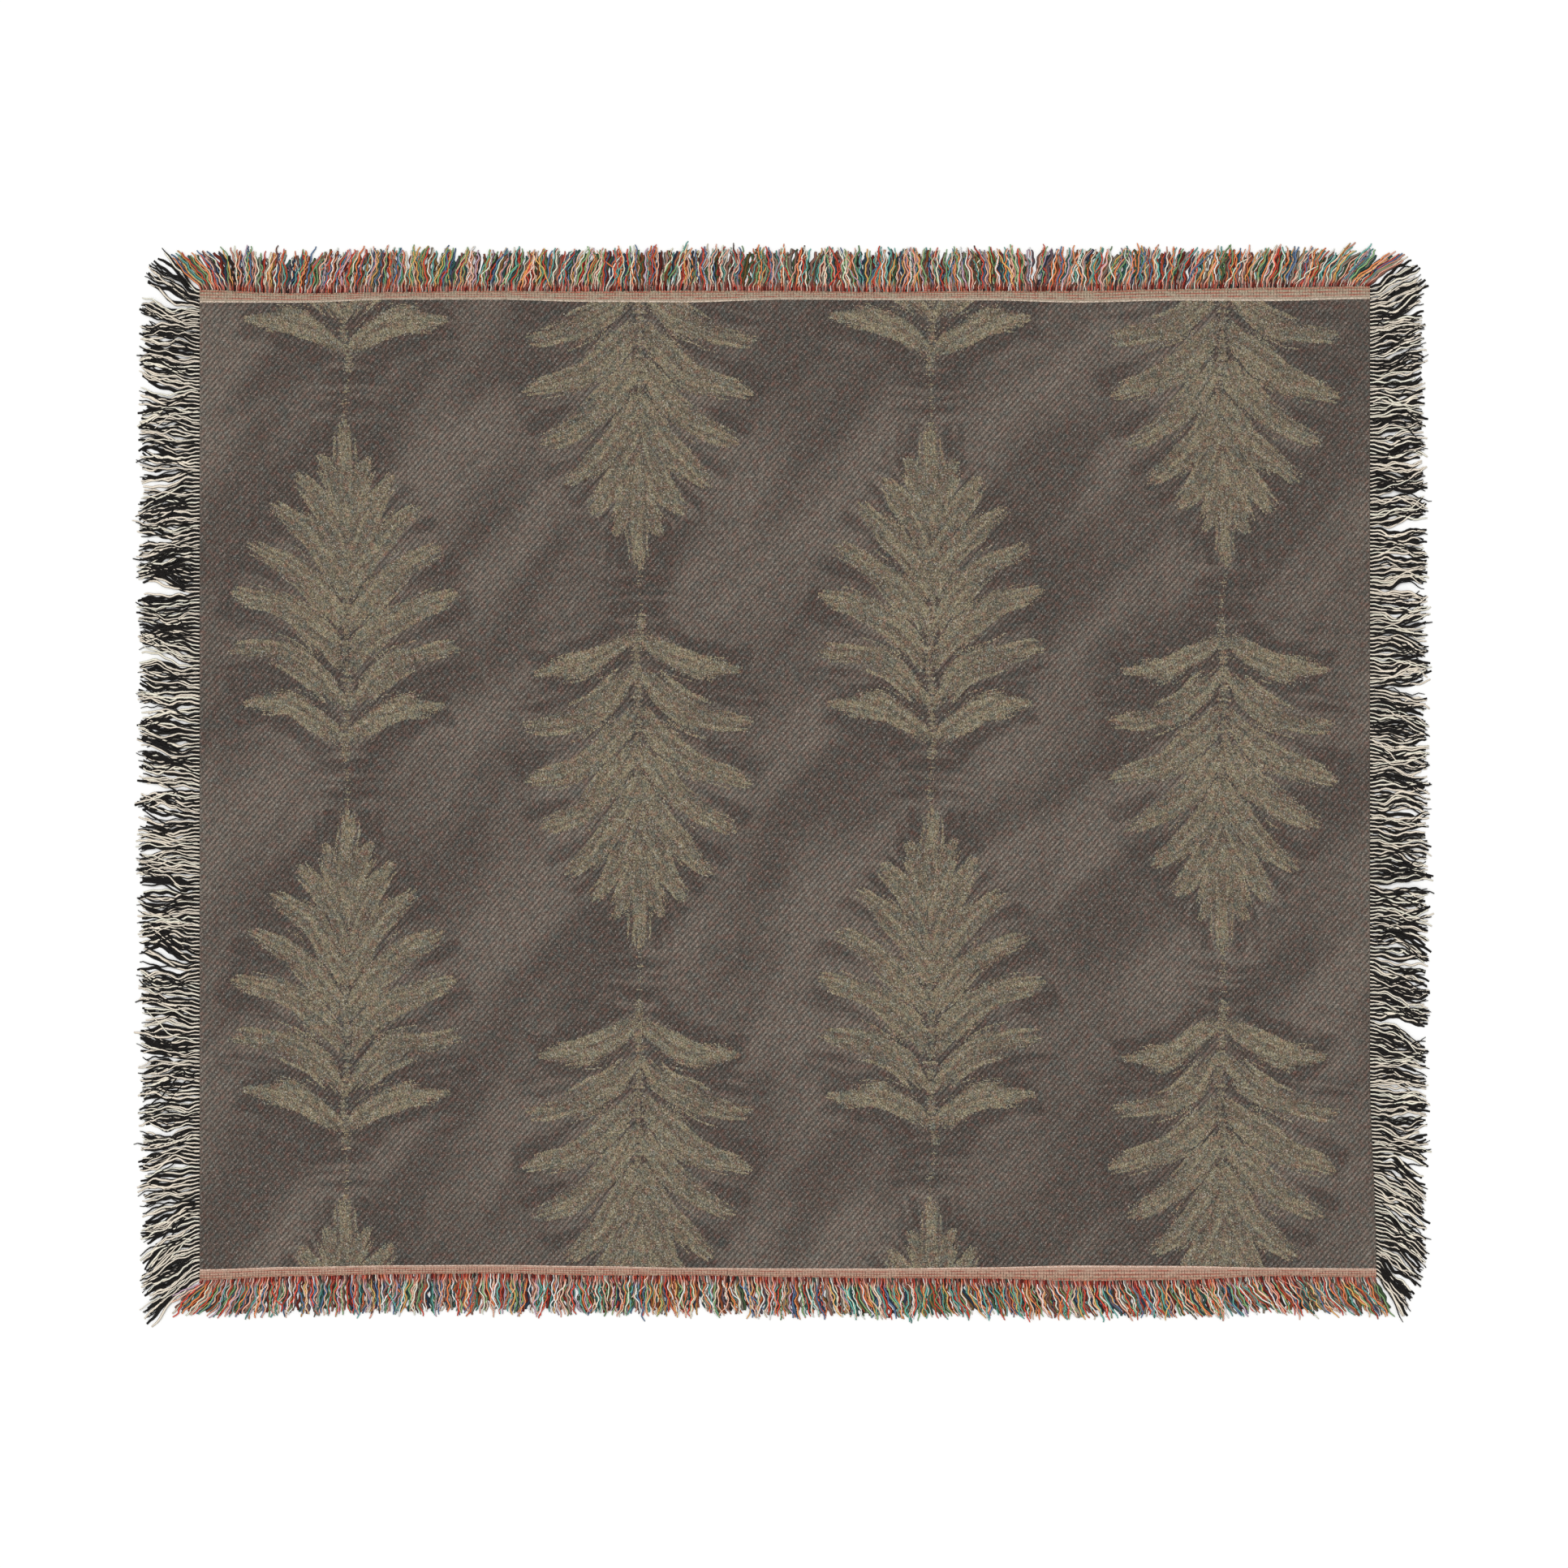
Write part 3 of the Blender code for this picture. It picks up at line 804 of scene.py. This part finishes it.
def lie(x, y):
    """The floor side's height: swells as a sum of sines, made positive, plus fading puckers."""
    turns = [2 * np.pi * (s.across * x + s.along * y) + s.phase for s in SWELLS]
    swell = sum(s.height * (1 + np.sin(turn)) for s, turn in zip(SWELLS, turns))
    to_heading = np.maximum(0, HALF_DEPTH - np.abs(y))
    pucker = PUCKER_HEIGHT * (1 + np.sin(2 * np.pi * PUCKERS_PER_METRE * x + 3 * np.sin(9 * x)))
    height = swell * smooth_step(*SWELL_FADE, to_heading) + pucker * np.exp(-to_heading / PUCKER_REACH)
    return smooth_step(*SELVEDGE_FADE, HALF_WIDTH - np.abs(x)) * height


# %% [markdown]
# The cloth itself, from selvedge to selvedge and from heading to heading. Its upper face is a grid
# of points, and its lower face is the same grid, lower by the cloth's thickness. The edge comes
# down in three small steps, because a woven edge is rounded and not cut.

# %% Weave the cloth
CELL = 7 * MM  # from one point of the grid to the next
EDGE_STEPS = np.array([0.0, 0.5, 1.4]) * MM  # in from the very edge
EDGE_DROPS = np.array([0.8, 0.3, 0.0])  # of half the thickness, at those steps


def edged(length, cell):
    """Places from 0 to length: fine at both ends and even between, with each one's edge drop."""
    inner = np.linspace(EDGE_STEPS[-1], length - EDGE_STEPS[-1], int(round(length / cell)) + 1)
    places = np.concatenate([EDGE_STEPS[:-1], inner, length - EDGE_STEPS[-2::-1]])
    drops = np.concatenate([EDGE_DROPS[:-1], np.zeros_like(inner), EDGE_DROPS[-2::-1]])
    return places, drops


def cloth_surfaces():
    """The cloth's upper and lower faces: rows from front to back, points from left to right."""
    across, across_drop = edged(2 * HALF_WIDTH, CELL)
    up, up_drop = edged(2 * HALF_DEPTH, CELL)
    u, v = np.meshgrid(across / across[-1], up / up[-1])
    x = -HALF_WIDTH + (right_selvedge(HALF_DEPTH * (2 * v - 1)) + HALF_WIDTH) * u
    low, high = long_line("cloth_front", x), long_line("cloth_back", x)
    y = low + (high - low) * v
    drop = np.maximum(across_drop[None, :], up_drop[:, None]) * CLOTH_THICKNESS / 2
    floor_side = lie(x, y)
    upper = np.stack([x, y, floor_side + CLOTH_THICKNESS - drop], -1)
    lower = np.stack([x, y, floor_side + drop], -1)
    return upper, lower


cloth = add_shell("figured_cloth", *cloth_surfaces(), face_cloth)
cloth.data.materials.append(underside_cloth)
cloth.data.polygons.foreach_set("material_index", (face_normals(cloth)[:, 2] < -0.5).astype(np.int32))
print(f"cloth: {len(cloth.data.polygons)} faces")

# %% [markdown]
# A heading is made in the same way, as a finer grid that follows the wavy edge. The warp passes
# over one cord and under the next, so each cord swells and sinks along its length, and its
# neighbour does so half a step later.

# %% Weave the headings
CORD_POINTS = 4  # to each cord, across it
CORD_HEIGHT, CORD_ROUNDNESS, CORD_SWELL = 0.55 * MM, 0.7, 0.45
COLUMNS_A_BUNDLE = 3
HEADING_BASE = 1.55 * MM
HEADING_TUCK = 0.8 * MM  # how far it goes in under the cloth's rounded edge
HEADING_INSET = 0.2 * MM
BORDER_HEIGHT, BORDER_RISE = 0.5, 20  # share of the height at both borders, and its slope from there


def heading_surfaces(inner_line, outer_line):
    """A heading's upper and lower faces and its share across: rows along Y, points along X."""
    columns = int(2 * HALF_WIDTH / BOUND_PITCH) * COLUMNS_A_BUNDLE
    u, v = np.meshgrid(np.linspace(0, 1, columns), np.linspace(0, 1, CORDS * CORD_POINTS + 1))
    left = -HALF_WIDTH + HEADING_INSET
    right = right_selvedge(long_line(outer_line, HALF_WIDTH)) - HEADING_INSET
    x = left + (right - left) * u
    inner, outer = long_line(inner_line, x), long_line(outer_line, x)
    inner = inner - np.sign(outer - inner) * HEADING_TUCK
    y = inner + (outer - inner) * v
    cord = np.abs(np.sin(np.pi * CORDS * v)) ** CORD_ROUNDNESS
    number = np.minimum(np.floor(CORDS * v), CORDS - 1)
    binding = 0.5 + 0.5 * np.cos(2 * np.pi * x / BOUND_PITCH + np.pi * number)
    inside = np.minimum(1, BORDER_HEIGHT + BORDER_RISE * np.minimum(v, 1 - v))
    height = (HEADING_BASE + CORD_HEIGHT * cord * (1 - CORD_SWELL + CORD_SWELL * binding)) * inside
    floor_side = lie(x, y)
    upper = np.stack([x, y, floor_side + height], -1)
    lower = np.stack([x, y, floor_side], -1)
    rows = slice(None) if outer[0, 0] > inner[0, 0] else slice(None, None, -1)
    return upper[rows], lower[rows], v[rows]


def weave_heading(name, inner_line, outer_line, material):
    """A heading as a piece, with its UV map of metres along the edge and share across it."""
    upper, lower, share = heading_surfaces(inner_line, outer_line)
    piece = add_shell(name, upper, lower, material)
    vertex = np.empty(len(piece.data.loops), dtype=np.int32)
    piece.data.loops.foreach_get("vertex_index", vertex)
    x, share = np.tile(upper[..., 0].ravel(), 2), np.tile(share.ravel(), 2)
    uv = np.stack([x[vertex], share[vertex]], -1).astype(np.float32)
    piece.data.uv_layers.new(name="along the edge").data.foreach_set("uv", uv.ravel())
    print(f"{name}: {len(piece.data.polygons)} faces")
    return piece


back_heading = weave_heading("back_heading", "cloth_back", "heading_back", back_heading_cloth)
front_heading = weave_heading("front_heading", "cloth_front", "heading_front", front_heading_cloth)

# %% [markdown]
# The path of a yarn. It starts squarely out of the edge, bends towards its lean by a power of the
# way along, and sways slowly together with its neighbours. On top of that come three things that
# the solids leave out: waves that neighbours share, which gather them into clumps and part them
# again, a lean and a crimp left over from the weave that the yarns of one lock have in common, and
# a wander of its own for each yarn.

# %% The path of a yarn
Side = namedtuple("Side", "name outward along_x edge")
SIDES = {
    "back": Side("back", 1, True, lambda x: long_line("heading_back", x)),
    "front": Side("front", -1, True, lambda x: long_line("heading_front", x)),
    "left": Side("left", -1, False, lambda y: np.full_like(y, -HALF_WIDTH)),
    "right": Side("right", 1, False, right_selvedge),
}
BEND_POWER = 1.35
SWAY, SWAY_WAVES, SWAY_DRIFT = 1.4 * MM, 0.85, 0.150
GATHERS_IN, CRIMPS_IN = (-0.05, 0.45), (0, 0.15)  # shares of a yarn, over which these waves set in

Gather = namedtuple("Gather", "apart reach turns phase")  # metres, metres, waves to a yarn, radians


def gathering(gathers, station, share):
    """How far shared waves carry a yarn along the edge: sines of its station and its share."""
    waves = (g.reach * np.sin(2 * np.pi * (station / g.apart + g.turns * share) + g.phase) for g in gathers)
    return sum(waves) * smooth_step(*GATHERS_IN, share)


Locks = namedtuple("Locks", "ends lean phase")  # metres along the edge, degrees, radians


def divide_into_locks(chance, low, high, length, lean):
    """Locks that follow each other along an edge, from half to one and a half times a length long.
    The yarns of a lock have its lean and the phase of its crimp in common."""
    count = int((high - low) / length * 1.5) + 8
    ends = low + np.cumsum(chance.uniform(0.5, 1.5, count)) * length
    return Locks(ends, chance.normal(0, lean, count + 1), chance.uniform(0, 2 * np.pi, count + 1))


def yarn_places(side, station, share, yarns, gathers):
    """Where each yarn is in plan at each share of its length, as (along the edge, outwards)."""
    lays = LAYS[side.name]
    stations = [row.station for row in lays]
    lean = np.radians(eased(stations, [row.lean for row in lays], station) + yarns["wander"])
    length = MM * eased(stations, [row.length for row in lays], station) * yarns["stretch"]
    reach = np.maximum(0, share)
    sway = SWAY * np.sin(2 * np.pi * (SWAY_WAVES * reach + station / SWAY_DRIFT)) * reach
    crimp = yarns["crimp"] * np.sin(2 * np.pi * length * share / yarns["crimp_length"] + yarns["phase"])
    along = station + length * np.sin(lean) * reach**BEND_POWER + sway
    gathered = gathering(gathers, station + yarns["slip"], share)
    along = along + gathered + crimp * smooth_step(*CRIMPS_IN, share)
    out = side.edge(station + 0 * share) + side.outward * length * np.cos(lean) * share
    return along, out, length


# %% [markdown]
# From paths to yarns. Each yarn is a tube of three sides, flat on the floor and rounded by smooth
# shading, in eighteen steps. It has few faces, because there are thousands of yarns. It comes out
# of the cloth's edge, keeps a height of its own over or under its neighbours, and comes to rest.
# It is thin at its root, fullest past its middle where the twist opens, and it ends in a wisp.

# %% Spin a fringe
STEPS = 18
TUBE_CORNERS = np.array([[0, 1.0], [-0.5, 0], [0.5, 0]])  # beside and above, in widths
WARP_ROUNDNESS = (0.36, 0.74)  # lowest and highest share of its width that a yarn is high
WEFT_ROUNDNESS = (0.28, 0.44)
ROOT_HEIGHT = 0.35 * MM
ROOT_DEPTH, USUAL_LENGTH = 1.6 * MM, 50 * MM  # how far a yarn goes back into the cloth, for its length
LEAVES_CLOTH, FINDS_LAYER, SINKS = (0, 0.35), (-0.05, 0.25), (0.6, 1.0)  # shares of a yarn
SINKS_BY = 0.6  # of its layer's height


def yarn_tubes(side, yarns, gathers, widths):
    """Rings round every yarn: its path, plus each corner's place beside and above it."""
    count = len(yarns["station"])
    column = {name: values[:, None] for name, values in yarns.items() if values.ndim == 1}
    even = np.linspace(0, 1, STEPS + 1)[None, :]
    root = -ROOT_DEPTH / USUAL_LENGTH
    share = root + (1 - root) * even
    along, out, length = yarn_places(side, column["station"], share, column, gathers)
    x, y = (along, out) if side.along_x else (out, along)
    width = column["width"] * np.interp(even, *widths)
    edge_lift = (ROOT_HEIGHT + lie(x[:, :1], y[:, :1])) * (1 - smooth_step(*LEAVES_CLOTH, share))
    rise = column["layer"] * smooth_step(*FINDS_LAYER, share) * (1 - SINKS_BY * smooth_step(*SINKS, share))
    path = np.stack([x, y, edge_lift + rise], -1)

    ahead = np.gradient(path[..., :2], axis=1)
    ahead /= np.linalg.norm(ahead, axis=-1, keepdims=True)
    beside = np.stack([-ahead[..., 1], ahead[..., 0], np.zeros_like(x)], -1)
    above = column["roundness"][..., None, None] * np.array([0, 0, 1.0])
    ring = TUBE_CORNERS[:, :1] * beside[..., None, :] + TUBE_CORNERS[:, 1:] * above
    points = path[..., None, :] + width[..., None, None] * ring
    sides = len(TUBE_CORNERS)
    along_yarn = np.broadcast_to((length * share)[..., None], (count, STEPS + 1, sides + 1))
    around = np.broadcast_to(np.arange(sides + 1) / sides, along_yarn.shape)
    return points, around, along_yarn


def spin_fringe(name, side, yarns, gathers, widths, material):
    """A fringe as one piece of many closed yarns, with each yarn's dyes as attributes."""
    points, around, along_yarn = yarn_tubes(side, yarns, gathers, widths)
    quads, near, far = ring_faces(*points.shape[:3])
    piece = add_mesh(name, points, [*quads.tolist(), *near.tolist(), *far.tolist()], material)
    uv_of_rings(piece, "along the yarn", around, along_yarn)
    for trait in ("yarn_dye", "root_dye"):
        colour = np.repeat(yarns[trait], points.shape[1] * points.shape[2], axis=0)
        layer = piece.data.attributes.new(trait, "FLOAT_COLOR", "POINT")
        layer.data.foreach_set("color", colour.astype(np.float32).ravel())
    print(f"{name}: {len(points)} yarns, {len(piece.data.polygons)} faces")
    return piece


# %% [markdown]
# The warp fringe, at the back and front. The warp is dyed in many colours: brick, salmon, orange, teal,
# green, slate, cream, mauve, ochre and dark brown. Its yarns are short, wavy and tangled, and lie three
# deep. The lowest ones lie in the shade of those above, so their dye is made much darker as painted shade,
# and the top ones are made lighter as painted light. All of them are redder at their roots, where the brick
# warp is bound in tightly.

# %% Warp fringes
Dye = namedtuple("Dye", "share colour")
WARP_DYES = [
    Dye(0.12, dye(188, 66, 48)), Dye(0.12, dye(224, 122, 72)), Dye(0.16, dye(230, 164, 142)),
    Dye(0.13, dye(88, 150, 140)), Dye(0.12, dye(116, 152, 102)), Dye(0.08, dye(80, 106, 138)),
    Dye(0.18, dye(238, 222, 198)), Dye(0.05, dye(172, 146, 162)), Dye(0.06, dye(208, 156, 88)),
    Dye(0.03, dye(84, 58, 50)),
]
ROOT_DYES = [
    Dye(0.30, dye(172, 56, 44)), Dye(0.27, dye(226, 150, 134)), Dye(0.18, dye(238, 214, 198)),
    Dye(0.12, dye(210, 106, 72)), Dye(0.07, dye(104, 128, 112)), Dye(0.06, dye(84, 46, 40)),
]
WARP_GATHERS = [
    Gather(-0.0173, 0.60 * MM, 2.2, 1.1), Gather(0.0270, 0.90 * MM, 1.7, 2.6),
    Gather(-0.0430, 1.40 * MM, 1.1, 0.7), Gather(0.0890, 1.80 * MM, 0.4, 2.9),
]
WARP_WIDTHS = ([0, 0.12, 0.5, 0.85, 1.0], [0.80, 0.95, 1.0, 0.95, 0.62])
WARP_PITCH, WARP_LOCK = 3.5 * MM, 8.0 * MM  # from yarn to yarn, and the length of a lock
# A layer's light is painted shade on the layers below and painted light on the top one.
WarpLayer = namedtuple("WarpLayer", "height light offset shorter width")
WARP_LAYERS = [  # metres, share of its dye's lightness, pitches, share of the length, millimetres
    WarpLayer(0.0, 0.26, 0.50, 0.12, 4.4),
    WarpLayer(0.9 * MM, 0.88, 0.25, 0.03, 2.3),
    WarpLayer(1.8 * MM, 1.36, 0.0, 0.0, 2.1),
]
DYE_STEP, DYE_SLIP = 0.539, 0.3  # turns round the table: three yarns make 1.618 of them
OWN_LEAN = 3.0  # how far each yarn leans by itself, in degrees


def dyed(chance, dyes, light):
    """A colour for each yarn, a little lighter or darker each time. The yarns take turns round the
    table of dyes, as the warp threads of a loom do, so no dye comes in patches."""
    shares = np.array([d.share for d in dyes])
    colours = np.array([d.colour for d in dyes])
    turn = (np.arange(len(light)) * DYE_STEP + chance.uniform(0, DYE_SLIP, len(light))) % 1
    chosen = colours[np.searchsorted(np.cumsum(shares / shares.sum())[:-1], turn)]
    # Times the light it is given, which is the painted shade and light of the warp layers, and times a
    # random tone.
    chosen[:, :3] *= (light * chance.uniform(0.80, 1.15, len(light)))[:, None]
    return np.clip(chosen, 0, 1)


def leans(chance, shared, stray, stray_lean):
    """Each yarn's lean beyond its side's: its lock's, its own, and for a stray one a good deal more."""
    count = len(shared)
    return shared + chance.normal(0, OWN_LEAN, count) + stray * chance.normal(0, stray_lean, count)


def warp_yarns(seed, low, high, lightness):
    """Traits of the warp yarns from one end of a heading to the other: three to each pitch."""
    chance = np.random.default_rng(seed)
    pitches = np.arange(low, high, WARP_PITCH)
    layer = np.tile(np.arange(len(WARP_LAYERS)), len(pitches))
    row = WarpLayer(*np.array(WARP_LAYERS)[layer].T)
    count = len(layer)
    offset = row.offset * WARP_PITCH + chance.normal(0, 0.5 * MM, count)
    stray = (layer > 0) & (chance.random(count) < 0.10)
    # Painted shade and light, layer by layer, times the lightness of this end.
    light = row.light * lightness
    station = np.clip(np.repeat(pitches, len(WARP_LAYERS)) + offset, low, high)
    locks = divide_into_locks(chance, low, high, WARP_LOCK, 5.0)
    lock = np.searchsorted(locks.ends, station)
    return {
        "station": station,
        "stretch": chance.normal(0.98, 0.055, count) - row.shorter,
        "wander": leans(chance, locks.lean[lock] * (layer > 0), stray, 15),
        "slip": chance.normal(0, 1.5, count) * MM,
        "roundness": chance.uniform(*WARP_ROUNDNESS, count),
        "crimp": chance.uniform(0.4, 1.1, count) * MM,
        "crimp_length": chance.uniform(11, 15, count) * MM,
        "phase": locks.phase[lock] + 1.3 * layer + chance.normal(0, 0.5, count),
        "layer": row.height + chance.uniform(0, 0.7, count) * MM + stray * 0.5 * MM,
        "width": row.width * chance.uniform(0.85, 1.15, count) * MM,
        "yarn_dye": dyed(chance, WARP_DYES, light),
        "root_dye": dyed(chance, ROOT_DYES, light),
    }


warp_fringes = {}
for end, seed, lightness in (("back", 31, 1.15), ("front", 32, 1.24)):
    corner = right_selvedge(long_line(f"heading_{end}", HALF_WIDTH))
    yarns = warp_yarns(seed, -HALF_WIDTH + 1 * MM, corner - 1 * MM, lightness)
    name = f"{end}_warp_fringe"
    warp_fringes[end] = spin_fringe(name, SIDES[end], yarns, WARP_GATHERS, WARP_WIDTHS, warp_yarn)

# %% [markdown]
# The weft fringe, at the left and right. Cream and black take turns in the cloth, so they leave it
# by turns too. The cream is soft and opens out towards its end. The black lies lower and wider, and
# some of it slips on top as thin strands. The shared waves make the flowing clumps and the small
# windows of bare floor of the photograph.

# %% Weft fringes
CREAM, BLACK = dye(255, 242, 223), dye(22, 18, 16)
WEFT_GATHERS = [
    Gather(-0.0210, 0.80 * MM, 1.9, 2.2), Gather(0.0330, 1.40 * MM, 1.5, 0.2),
    Gather(-0.0510, 2.20 * MM, 1.0, 1.4), Gather(0.0870, 3.00 * MM, 0.6, 0.5),
]
WEFT_WIDTHS = ([0, 0.10, 0.35, 0.8, 1.0], [0.72, 0.80, 1.05, 1.05, 0.62])
WEFT_PITCH, WEFT_LOCK = 4.6 * MM, 11.0 * MM
WeftKind = namedtuple("WeftKind", "dye each offset low high layer_low layer_high slip")
WEFT_KINDS = [
    WeftKind(CREAM, 1.0, 0.0, 2.2, 3.1, 1.2, 1.8, 0.0),
    WeftKind(BLACK, 1.0, 0.5, 3.4, 4.4, 0.0, 0.5, 2.0),
    WeftKind(CREAM, 0.35, 0.2, 1.3, 2.0, 2.9, 3.4, 2.0),
    WeftKind(BLACK, 1.5, 0.5, 1.2, 2.2, 2.2, 2.8, 3.5),
]


def weft_yarns(seed, low, high):
    """Traits of the weft yarns, kind by kind: so many to each pitch, offset by a share of it.
    Widths, layers and slips are in millimetres."""
    chance = np.random.default_rng(seed)
    pitches = np.arange(low, high, WEFT_PITCH)
    locks = divide_into_locks(chance, low, high, WEFT_LOCK, 5.5)
    kinds = []
    for kind in WEFT_KINDS:
        count = int(len(pitches) * kind.each)
        places = pitches if kind.each == 1.0 else chance.choice(pitches, count)
        stray = (kind.each != 1.0) & (chance.random(count) < 0.18)
        spread = 0.25 * MM if kind.each == 1.0 else 0.7 * MM
        colour = np.tile(np.array(kind.dye), (count, 1))
        colour[:, :3] *= chance.uniform(0.90, 1.10, (count, 1))
        station = np.clip(places + kind.offset * WEFT_PITCH + chance.normal(0, spread, count), low, high)
        lock = np.searchsorted(locks.ends, station)
        kinds.append({
            "station": station,
            "stretch": chance.normal(0.97, 0.05, count),
            "wander": leans(chance, locks.lean[lock], stray, 13),
            "slip": chance.normal(kind.slip, 2.0, count) * MM,
            "roundness": chance.uniform(*WEFT_ROUNDNESS, count),
            "crimp": chance.uniform(0.4, 1.1, count) * MM,
            "crimp_length": chance.uniform(14, 21, count) * MM,
            "phase": locks.phase[lock] + chance.normal(0, 0.6, count),
            "layer": chance.uniform(kind.layer_low, kind.layer_high, count) * MM,
            "width": chance.uniform(kind.low, kind.high, count) * MM,
            "yarn_dye": np.clip(colour, 0, 1),
            "root_dye": np.clip(colour, 0, 1),
        })
    return {trait: np.concatenate([kind[trait] for kind in kinds]) for trait in kinds[0]}


weft_fringes = {}
for end, seed in (("left", 41), ("right", 42)):
    corner = -HALF_WIDTH if end == "left" else HALF_WIDTH
    low, high = long_line("heading_front", corner) + 1 * MM, long_line("heading_back", corner) - 1 * MM
    yarns = weft_yarns(seed, low, high)
    name = f"{end}_weft_fringe"
    weft_fringes[end] = spin_fringe(name, SIDES[end], yarns, WEFT_GATHERS, WEFT_WIDTHS, weft_yarn)

# %% [markdown]
# Last, the floor, and where each piece goes. All of them ride on the throw's one body, and each one takes
# the place of the solid it covers, which is hidden.

# %% The floor
bpy.ops.mesh.primitive_plane_add(size=80, location=(0, 0, -0.3 * MM))
floor = bpy.context.object
floor.name = "floor"
floor_paper, _, finish = cotton("floor_paper")
finish["Base Color"].default_value = dye(250, 250, 249)
finish["Sheen Weight"].default_value = 0.0
floor.data.materials.append(floor_paper)
floor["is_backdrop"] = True

# %% Each piece on the body, in place of its solid
pieces = [
    (cloth, "woven_panel", "woven_cloth"),
    (back_heading, "heading_fringe_back", "warp_yarn"),
    (front_heading, "heading_fringe_front", "warp_yarn"),
    (warp_fringes["back"], "heading_fringe_back", "warp_yarn"),
    (warp_fringes["front"], "heading_fringe_front", "warp_yarn"),
    (weft_fringes["left"], "selvedge_fringe_left", "weft_yarn"),
    (weft_fringes["right"], "selvedge_fringe_right", "weft_yarn"),
]
for piece, node_name, slot_name in pieces:
    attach(piece, "root")
    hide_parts(node_name)

# %% Sizes for the record
visual_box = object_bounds()
for label, box in (("solids", solids_box), ("visual", visual_box)):
    print(label, [round(b - a, 4) for a, b in zip(*box)])
